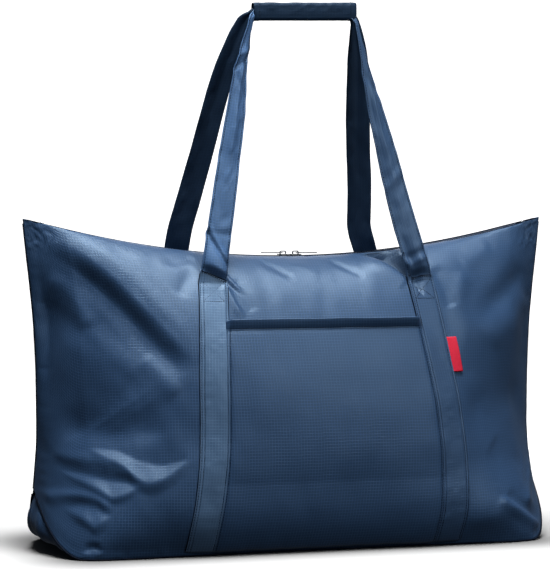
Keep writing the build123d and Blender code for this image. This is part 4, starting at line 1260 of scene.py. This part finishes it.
def handle(which, side):
    """One whole strap: up the left leg, along the grip, down the right one."""
    cols = 21
    s = np.linspace(-1, 1, cols)
    out = {}
    for hand in ("left", "right"):
        line = LEGS[(which, hand)]["line"]
        x, y, z, yw, w, f = leg(which, side, hand)
        # the strap's end lies under the sewn run, and leaves it at the seam
        zf = np.linspace(302, 324, FEET)
        feet, _ = strap_point(strap_centre(line, zf), zf, side, 0.6)
        c = np.concatenate([feet, np.stack([x, y, z], -1)])
        m = FEET
        shift = feet[-1, 0] - x[0]
        c[m:, 0] += shift * (1 - step((z - 326.0) / 60))
        dy = feet[-1, 1] - y[0]
        c[m:, 1] += dy * (1 - step((z - 322.0) / 50))
        out[hand] = (c, np.r_[np.zeros(m), yw], np.r_[np.full(m, STRAP_W - 1.4), w], np.r_[np.zeros(m), f])
    cl, yl, wl, fl = out["left"]
    cr, yr, wr, fr = out["right"]
    ybar = BAR_Y[side]

    def turn(top, x_in, k=12):
        """An easy corner from the top of a leg into the grip."""
        t = np.linspace(0, 1, k + 1)[1:, None]
        a = np.array(top)
        b = np.array([top[0] + (x_in - top[0]) * 0.40, ybar, 634.5])
        c = np.array([x_in, ybar, 635.3])
        return (1 - t) ** 2 * a + 2 * t * (1 - t) * b + t * t * c

    tl, tr = turn(cl[-1], -46.0), turn(cr[-1], 64.0)
    bar_x = np.linspace(-42, 60, 26)
    bar = np.stack([bar_x, np.full(26, ybar), np.full(26, 635.3)], -1)
    centre = np.concatenate([cl, tl, bar, tr[::-1], cr[::-1]])
    yaw = np.concatenate([yl, np.linspace(yl[-1], 0, 13)[1:], np.zeros(26), np.linspace(0, yr[-1], 13)[:-1], yr[::-1]])
    into = lambda w0: np.interp(np.linspace(0, 1, 13)[1:], [0, 0.45, 1], [w0, 9.0, 14.0])
    wid = np.concatenate([wl, into(wl[-1]), np.full(26, 14.0), into(wr[-1])[::-1], wr[::-1]])
    ff = np.concatenate([fl, np.ones(50), fr[::-1]])
    foot = np.concatenate([np.arange(len(cl)), np.full(50, 999), np.arange(len(cr))[::-1]])
    for _ in range(4):
        centre[1:-1] = 0.25 * centre[:-2] + 0.5 * centre[1:-1] + 0.25 * centre[2:]
        yaw[1:-1] = 0.25 * yaw[:-2] + 0.5 * yaw[1:-1] + 0.25 * yaw[2:]
    T = np.gradient(centre, axis=0)
    T /= np.linalg.norm(T, axis=1, keepdims=True)
    ny = np.array([0.0, 1.0, 0.0])
    n0 = ny - T * (T @ ny)[:, None]
    n0 /= np.linalg.norm(n0, axis=1, keepdims=True)
    a0 = np.cross(n0, T)
    q = np.radians(yaw)[:, None]
    A = a0 * np.cos(q) + n0 * np.sin(q)
    N = -a0 * np.sin(q) + n0 * np.cos(q)
    outn = -N if side < 0 else N
    S = s[None, :]
    width = wid[:, None]
    # flat at the seam, a soft roll along the strap higher up
    v = smooth([(0, 0), (0.12, 0.2), (0.4, 1.2), (0.7, 2.2), (1, 1.6)], ff)[:, None]
    shape = v * (0.5 - np.abs(S)) + v * 0.35 * np.cos(S * math.pi * 1.5)
    gone = np.r_[0, np.cumsum(np.linalg.norm(np.diff(centre, axis=0), axis=1))]
    # distance from the seams, which may lie aslant
    k_seam = 11
    lean_l = 0.42 * 17 * S if LEGS[(which, "left")]["line"] is FRONT_LEFT else 0 * S
    from_left = gone[:, None] - gone[k_seam] + lean_l
    from_right = gone[-1 - k_seam] - gone[:, None] + 0 * S
    # the hollow over each seam: the strap folds out of it, then rises
    near = np.minimum(from_left, from_right)
    belly = smooth([(-20, 0), (-1, 0), (2.5, 0.3), (12, 7.6), (20, 6.8), (46, 0.8), (70, 0)], near)
    pinch = 1 - 0.90 * np.abs(S) ** 3.2
    lean = np.where(from_left < from_right, 1.0, 0.55)
    shape = shape + belly * pinch * (lean if side < 0 else 0.6)
    live = step((near - 2) / 25)
    crumple = (0.8 * value_noise(gone[:, None] / 26 + S * 0.6, S * 1.2 + 4, 23 + side)
               + 0.4 * value_noise(gone[:, None] / 11 - S, S * 2 + 9, 29 + side)) * live
    if side < 0:
        for at, tilt, deep, wide in ((33, 13, -2.4, 2.6), (40, 13, 1.4, 4.5), (52, -8, -0.9, 4), (258, -16, -1.8, 4),
                                     (272, -14, 1.6, 5), (232, 10, -1.0, 5)):
            crumple = crumple + deep * np.exp(-(((from_left - at + tilt * S) / wide) ** 2)) * step((1.15 - np.abs(S)) / 0.3)
        for at, tilt, deep, wide in ((18, 3, 1.2, 3.4), (27, 2, -1.6, 4.0), (120, 10, 0.9, 6), (240, -12, -1.2, 6)):
            crumple = crumple + deep * np.exp(-(((from_right - at + tilt * S) / wide) ** 2)) * step((1.15 - np.abs(S)) / 0.3)
    edge_dip = -0.55 * np.exp(-(((np.abs(S) * width / 2 - (width / 2 - 2.2)) / 0.8) ** 2))
    P = centre[:, None] + A[:, None] * (S * width / 2)[..., None] + outn[:, None] * (shape + crumple + edge_dip + 0.5)[..., None]
    # each foot follows the cloth under the sewn run, then lets go of it
    for hand, rows_, run in (("left", list(range(FEET)), 1), ("right", list(range(len(P) - 1, len(P) - 1 - FEET, -1)), -1)):
        line = LEGS[(which, hand)]["line"]
        zf = np.linspace(302, 324, FEET)[:, None]
        sx = run * s[None, :] * (STRAP_W - 1.4) / 2
        foot_p, foot_n = strap_point(strap_centre(line, zf) + sx, zf + 0 * sx, side, 0.95)
        flat = centre[rows_][:, None] + A[rows_][:, None] * (S * width[rows_] / 2)[..., None] + outn[rows_][:, None] * 0.5
        gap = foot_p - flat
        P[rows_] += gap
        last = rows_[-1]
        for j in range(1, 26):
            P[last + run * j] += gap[-1] * (1 - step(j / 26.0))
    obj = shell(f"handle_{which}", P, 1.1, M_HANDLE_PAINTED_LIGHT_LEFT if side < 0 else M_REAR_PAINTED_SHADE,
                (lambda Q: np.broadcast_to(outn[:, None], Q.shape)), ride=None)
    rows = []
    nn = normals_of(P)
    nn = nn * np.sign(np.sum(nn * outn[:, None]))
    for sgn in (-1, 1):
        pos = sgn * (1 - 2.2 / (wid / 2))
        k = (pos + 1) / 2 * (cols - 1)
        i = np.clip(np.floor(k).astype(int), 0, cols - 2)
        t = (k - i)[:, None]
        r = np.arange(len(P))
        line = P[r, i] * (1 - t) + P[r, i + 1] * t
        ln = nn[r, i] * (1 - t) + nn[r, i + 1] * t
        rows.append(stitches(line[10:140], ln[10:140]))
        rows.append(stitches(line[-140:-10], ln[-140:-10]))
    v_, f_ = join(rows)
    st = make(f"handle_{which}_stitching", v_, f_, M_THREAD)
    return obj, st


handle_front, st_front = handle("front", -1)
handle_rear, st_rear = handle("rear", 1)
for o, body, side in ((handle_front, "front_handle", -1), (st_front, "front_handle", -1),
                      (handle_rear, "rear_handle", 1), (st_rear, "rear_handle", 1)):
    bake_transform(o)
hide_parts("handle_strap_front")
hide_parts("handle_strap_rear")


# ==================================================================== the grip
def grip_half(which, side):
    """Half of the wrapped sleeve: outer face, rounded corners, lips to the
    closure."""
    outer = BAR_Y[side] + side * 3.0
    inner = -27.2 + side * 0.15
    hh = 10.6
    rc, rt = 3.2, 5.4
    pts = []
    pts.append((inner, hh))
    yt = outer - side * rc
    for a in np.linspace(90, 0, 11):
        q = math.radians(a)
        pts.append((yt + side * rc * math.cos(q), hh - rt + rt * math.sin(q)))
    yc = outer - side * rc
    for k in np.linspace(0, 1, 11)[1:-1]:
        pts.append((outer + side * 0.35 * math.sin(k * math.pi), (hh - rt) + (rt + rc - 2 * hh) * k))
    for a in np.linspace(0, -90, 9):
        q = math.radians(a)
        pts.append((yc + side * rc * math.cos(q), -(hh - rc) + rc * math.sin(q)))
    pts.append((inner, -hh))
    sec = np.array(pts)
    x = np.unique(np.r_[np.linspace(-54.5, 74.5, 91), [-53.5, -47.2, -46.6, 73.5, 66.6, 67.2]])
    X = np.repeat(x[:, None], len(sec), 1)
    Y = np.repeat(sec[None, :, 0], len(x), 0)
    Zz = np.repeat(sec[None, :, 1], len(x), 0)
    gone = np.r_[0, np.cumsum(np.linalg.norm(np.diff(sec, axis=0), axis=1))]
    G = np.repeat(gone[None], len(x), 0)
    end = np.minimum(x + 54.5, 74.5 - x)[:, None]
    hem = 0.35 * step((8.0 - end) / 0.8)
    puff = -0.5 * np.exp(-((end / 2.0) ** 2))
    life = 0.42 * value_noise(X / 16, G / 9, 41 + side) + 0.24 * value_noise(X / 6 + G / 9, G / 5, 43 + side)
    life = life * (0.45 + 0.9 * step((Zz + 2) / 5))
    fade = step(np.minimum(G, gone[-1] - G) / 3.0)
    d = (hem + puff + life * step(end / 9)) * fade * 0.8
    cy = inner
    dirY, dirZ = Y - cy, Zz * 0.6
    k = np.sqrt(dirY**2 + dirZ**2) + 1e-6
    P = np.stack([X, Y + dirY / k * d, GRIP_Z + 1.0 + Zz + dirZ / k * d + (X - 10) / 64.5 * 1.4], -1)
    obj = shell(f"grip_{which}", P, 0.85, M_WRAP_PAINTED_SHADE, (lambda Q: np.stack([Q[..., 0] * 0, Q[..., 1] - cy, (Q[..., 2] - GRIP_Z) * 0.5], -1)),
                ride=f"{which}_handle", replaces=[f"grip_wrap_{which}"])
    # stitches of the end hems
    nn = normals_of(P)
    nn = nn * np.sign(np.sum(nn * np.stack([Y * 0, dirY, dirZ], -1)))
    rows = []
    for at in (-48.0, 68.0):
        i = int(np.argmin(np.abs(x - at)))
        rows.append(stitches(P[i], nn[i], 2.6, 1.9, 0.25))
    v_, f_ = join(rows)
    st = make(f"grip_{which}_stitching", v_, f_, M_THREAD)
    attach(st, f"{which}_handle")
    return obj


grip_half("front", -1)
grip_half("rear", 1)


# ===================================================================== the zip
def arc_frame(x):
    t = np.arctan2(x, np.sqrt(ZIP_R**2 - x * x))
    return t, np.stack([np.sin(t), 0 * t, -np.cos(t)], -1)


def tape(side):
    """One half of the tape, on the arc, tapering to the tips."""
    x = np.linspace(-315.5, 315.5, 261)
    out = smooth([(0, 15.0), (272, 15.0), (296, 5.6), (316, 1.4)], np.abs(x))
    s = np.linspace(0, 1, 9)
    inner = 0.6
    Y = side * (inner + (out - inner)[:, None] * s[None])
    t, _ = arc_frame(x)
    wav = 0.18 * value_noise(x[:, None] / 14, Y / 10, 53)
    rho = (ZIP_R + 0.02 + 0.25 * s[None] + wav * s[None])
    P = np.stack([rho * np.sin(t)[:, None], Y, ZIP_CZ - rho * np.cos(t)[:, None]], -1)
    return P


for side, name in ((-1, "front"), (1, "rear")):
    shell(f"zip_tape_woven_{name}", tape(side), 0.6, M_TAPE, (0, 0, 1),
          replaces=[f"zip_tape_{name}"])


def tooth(n_ring=6):
    """A rounded loop of the coil, 3 mm across the zip."""
    ys = np.array([-0.35, 0.1, 0.7, 1.6, 2.4, 2.95])
    rx = np.array([0.20, 0.62, 0.50, 0.46, 0.52, 0.25])
    rz = np.array([0.35, 0.95, 0.80, 0.78, 0.85, 0.40])
    return ys, rx, rz


def coil(side):
    ys, rx, rz = tooth()
    pitch = 2.25
    n = int(2 * 300 / pitch)
    x = (np.arange(n) - (n - 1) / 2) * pitch + (0.0 if side < 0 else pitch / 2)
    t = x / (ZIP_R - 1.2)
    sides = 8
    ang = np.arange(sides) * 2 * math.pi / sides
    m = len(ys) * sides
    V = np.empty((n, m, 3))
    ca, sa = np.cos(ang), np.sin(ang)
    for k in range(len(ys)):
        lx = rx[k] * ca
        lz = rz[k] * sa + 1.15
        rho = ZIP_R - lz
        tt = t[:, None] + (lx / (ZIP_R - 1.2))[None]
        V[:, k * sides:(k + 1) * sides, 0] = rho[None] * np.sin(tt)
        V[:, k * sides:(k + 1) * sides, 1] = side * ys[k]
        V[:, k * sides:(k + 1) * sides, 2] = ZIP_CZ - rho[None] * np.cos(tt)
    base = []
    for k in range(len(ys) - 1):
        for s in range(sides):
            s2 = (s + 1) % sides
            q = [k * sides + s, k * sides + s2, (k + 1) * sides + s2, (k + 1) * sides + s]
            base.append(q if side > 0 else q[::-1])
    a = list(range(sides))
    b = [m - sides + s for s in range(sides)]
    base.append(a[::-1] if side > 0 else a)
    base.append(b if side > 0 else b[::-1])
    faces = []
    for i in range(n):
        faces.extend([[q + i * m for q in f] for f in base])
    v = V.reshape(-1, 3)
    # sewing line that holds the coil on its tape
    xs = np.linspace(-300, 300, 400)
    tt, _ = arc_frame(xs)
    rho = ZIP_R - 0.15
    p = np.stack([rho * np.sin(tt), np.full_like(xs, side * 4.1), ZIP_CZ - rho * np.cos(tt)], -1)
    n_ = np.stack([-np.sin(tt), 0 * tt, np.cos(tt)], -1)
    cord_v, cord_f = stitches(p, n_, 2.25, 1.8, 0.2)
    return (v, faces), (cord_v, cord_f)


for side, name in ((-1, "front"), (1, "rear")):
    teeth, sew = coil(side)
    v, f = teeth
    o = make(f"zip_coil_teeth_{name}", v, f, M_COIL)
    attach(o, "bag")
    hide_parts(f"zip_coil_{name}")
    o = make(f"zip_sewing_{name}", sew[0], sew[1], M_THREAD)
    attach(o, "bag")

# topstitching along both rims, and a thread cord along each rim's edge
parts = []
for side in (-1, 1):
    u = np.linspace(-0.93, 0.93, 500)
    for w0 in (0.9925, 0.9835):
        U = u
        x, y, z = body_point(U, np.full_like(U, w0))
        e = 1e-3
        xa, ya, za = body_point(U, np.full_like(U, w0 - e))
        xb, yb, zb = body_point(U, np.full_like(U, min(w0 + e, 1.0)))
        xc, yc, zc = body_point(U + e, np.full_like(U, w0))
        du = np.stack([xc - x, side * (yc - y), zc - z], -1)
        dw = np.stack([xb - xa, side * (yb - ya), zb - za], -1)
        n = np.cross(du, dw)
        n = n * np.sign(n[:, 2:3])
        n /= np.linalg.norm(n, axis=1, keepdims=True)
        parts.append(stitches(np.stack([x, side * y, z], -1) + n * 0.1, n, 3.2, 2.3, 0.26))
    u = np.linspace(-0.985, 0.985, 500)
    x, y, z = body_point(u, np.ones_like(u))
    parts.append(tube(np.stack([x, side * (y + 0.3), z + 0.35], -1), 0.62, 6))
v, f = join(parts)
o = make("rim_stitching", v, f, M_THREAD)
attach(o, "bag")

# ================================================================ inside
def strip(a, b, normal, ripple_by=0.25, seed=1, nx=60, ny=6):
    """A flat tape between two edge lines, given as functions of 0 to 1."""
    t = np.linspace(0, 1, nx)
    k = np.linspace(0, 1, ny)[:, None, None]
    P = a(t)[None] * (1 - k) + b(t)[None] * k
    T_, K = np.meshgrid(t, np.linspace(0, 1, ny))
    hold = step(np.minimum(T_, 1 - T_) / 0.02)
    return P + np.asarray(normal, float) * (ripple_by * value_noise(T_ * nx / 7.0, K * 2.0, seed) * hold)[..., None]


def col(*c):
    return np.stack(np.broadcast_arrays(*[np.asarray(v, float) for v in c]), -1)


def seam_y(x):
    u = x / half_width(0 * x)
    return body_point(u, np.zeros_like(u))[1]


for side, name in ((-1, "front"), (1, "back")):
    xs = lambda t: -257.5 + 515 * t
    P = strip(lambda t: col(xs(t), side * (seam_y(xs(t)) - 3.6), 1.6), lambda t: col(xs(t), side * (seam_y(xs(t)) - 4.2), 9.0),
              (0, side, 0), 0.3, 101, 150, 6)
    shell(f"base_binding_tape_{name}", P, 0.6, M_PIPE, (0, -side, 0), replaces=[f"base_binding_{name}"])
for sign, name in ((-1, "left"), (1, "right")):
    zs = lambda t: 83 + 268 * t
    P = strip(lambda t: col(sign * (half_width(zs(t)) - 3.4), 0.3, zs(t)), lambda t: col(sign * (half_width(zs(t)) - 10.6), 0.3, zs(t)),
              (0, 1, 0), 0.3, 103, 90, 6)
    shell(f"side_binding_tape_{name}", P, 0.6, M_PIPE, (0, 1, 0), replaces=[f"side_binding_{name}"])

# the stow pouch: two panels with rounded lower corners, a short zip, and its
# hanging tape
def pouch_grid(y0, z1, bulge, seed):
    t, k = np.meshgrid(np.linspace(-1, 1, 61), np.linspace(0, 1, 41))
    z = 147.4 + (z1 - 147.4) * k
    half = 94.6 - 9 * (1 - np.clip((z - 147.4) / 9, 0, 1) ** 0.5)
    x = half * t
    full = (1 - t**4) * np.sin(np.clip(k, 0, 1) * math.pi) ** 0.7
    y = y0 - bulge * full - 0.5 * value_noise(x / 14, z / 16, seed) * step((1 - np.abs(t)) / 0.08) * step(np.minimum(k, 1 - k) / 0.08)
    return np.stack([x, y, z], -1)


P = pouch_grid(56.3, 296.6, 0.0, 111)
shell("pouch_back_cloth", P, 0.5, M_RIP, (0, -1, 0), replaces=["pouch_back"])
P = pouch_grid(52.8, 276.6, 1.6, 112)
shell("pouch_front_cloth", P, 0.5, M_RIP, (0, -1, 0), replaces=["pouch_front"])
P = strip(lambda t: col(-90.6 + 181.2 * t, 53.6, 271.4), lambda t: col(-90.6 + 181.2 * t, 53.6, 290.6), (0, 1, 0), 0.15, 113, 120, 11)
shell("pouch_zip_tape_woven", P, 0.5, M_TAPE, (0, -1, 0), replaces=["pouch_zip_tape"])
parts = []
for k in range(118):
    for side in (-1, 1):
        x = -82.0 + k * 1.4 + (0.7 if side > 0 else 0)
        z = 281.05 + side * np.linspace(-0.2, 1.75, 5)
        parts.append(tube(col(x, np.array([52.5, 52.35, 52.4, 52.6, 53.0]), z), np.array([0.22, 0.42, 0.38, 0.38, 0.2]), 5))
v, f = join(parts)
o = make("pouch_zip_coil_teeth", v, f, M_COIL)
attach(o, "bag")
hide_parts("pouch_zip_coil")
path = np.array([(57.7, 262.3), (57.7, 300.0), (57.2, 304.5), (54.5, 308.0), (46.0, 316.6), (35.0, 327.8), (26.0, 337.0), (24.6, 338.6)])
k = np.linspace(0, 1, 40)
dd = np.r_[0, np.cumsum(np.hypot(*np.diff(path, axis=0).T))]
py, pz = np.interp(k * dd[-1], dd, path[:, 0]), np.interp(k * dd[-1], dd, path[:, 1])
xs = np.linspace(-59.6, 59.6, 41)
P = np.stack([np.repeat(xs[None], 40, 0), np.repeat(py[:, None], 41, 1) - 0.3 * value_noise(np.repeat(xs[None], 40, 0) / 15, np.repeat(pz[:, None], 41, 1) / 18, 121),
              np.repeat(pz[:, None], 41, 1)], -1)
shell("pouch_hanger_tape", P, 0.6, M_STRAP, (0, -1, -0.5), replaces=["pouch_hanger"])
rows = []
for xx in (-56.5, 56.5, -93.0, 93.0):
    z = np.linspace(150 if abs(xx) > 60 else 264, 292 if abs(xx) > 60 else 300, 60)
    yy = np.full_like(z, 52.6 if abs(xx) > 60 else 57.1)
    rows.append(stitches(col(xx, yy, z), np.tile([0.0, -1.0, 0.0], (60, 1)), 3.0, 2.2, 0.3))
v, f = join(rows)
o = make("pouch_stitching", v, f, M_THREAD)
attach(o, "bag")
# the blank care label hangs from the back base seam, turned up at its end
t, k = np.meshgrid(np.linspace(0, 1, 17), np.linspace(0, 1, 33))
P = np.stack([185.4 + 29.2 * t, 96.1 - 1.6 * np.sin(k * math.pi) ** 2 * (0.4 + 0.6 * t) - 0.8 * k * k, 6.4 + 59.2 * k], -1)
shell("care_tab", P, 0.35, M_WHITE, (0, -1, 0), replaces=["care_label"])

# =========================================================== finish CAD pieces
PLAIN = {
    "slider_left": M_METAL, "slider_right": M_METAL, "pull_left": M_METAL, "pull_right": M_METAL,
    "zip_stop_left": M_METAL, "zip_stop_right": M_METAL, "pouch_slider": M_METAL, "pouch_pull": M_METAL,
    "grip_hook_tape": M_HOOK, "grip_loop_tape": M_HOOK,
}
for n, mat in PLAIN.items():
    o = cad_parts[n]
    o.data.materials.clear()
    o.data.materials.append(mat)
for n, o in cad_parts.items():
    if n not in PLAIN and not o.hide_render:
        o.data.materials.clear()
        o.data.materials.append(M_TAPE if "tape" in n or "binding" in n else (M_WHITE if "label" in n else M_RIP))

print("FLAT", json.dumps(FLAT))
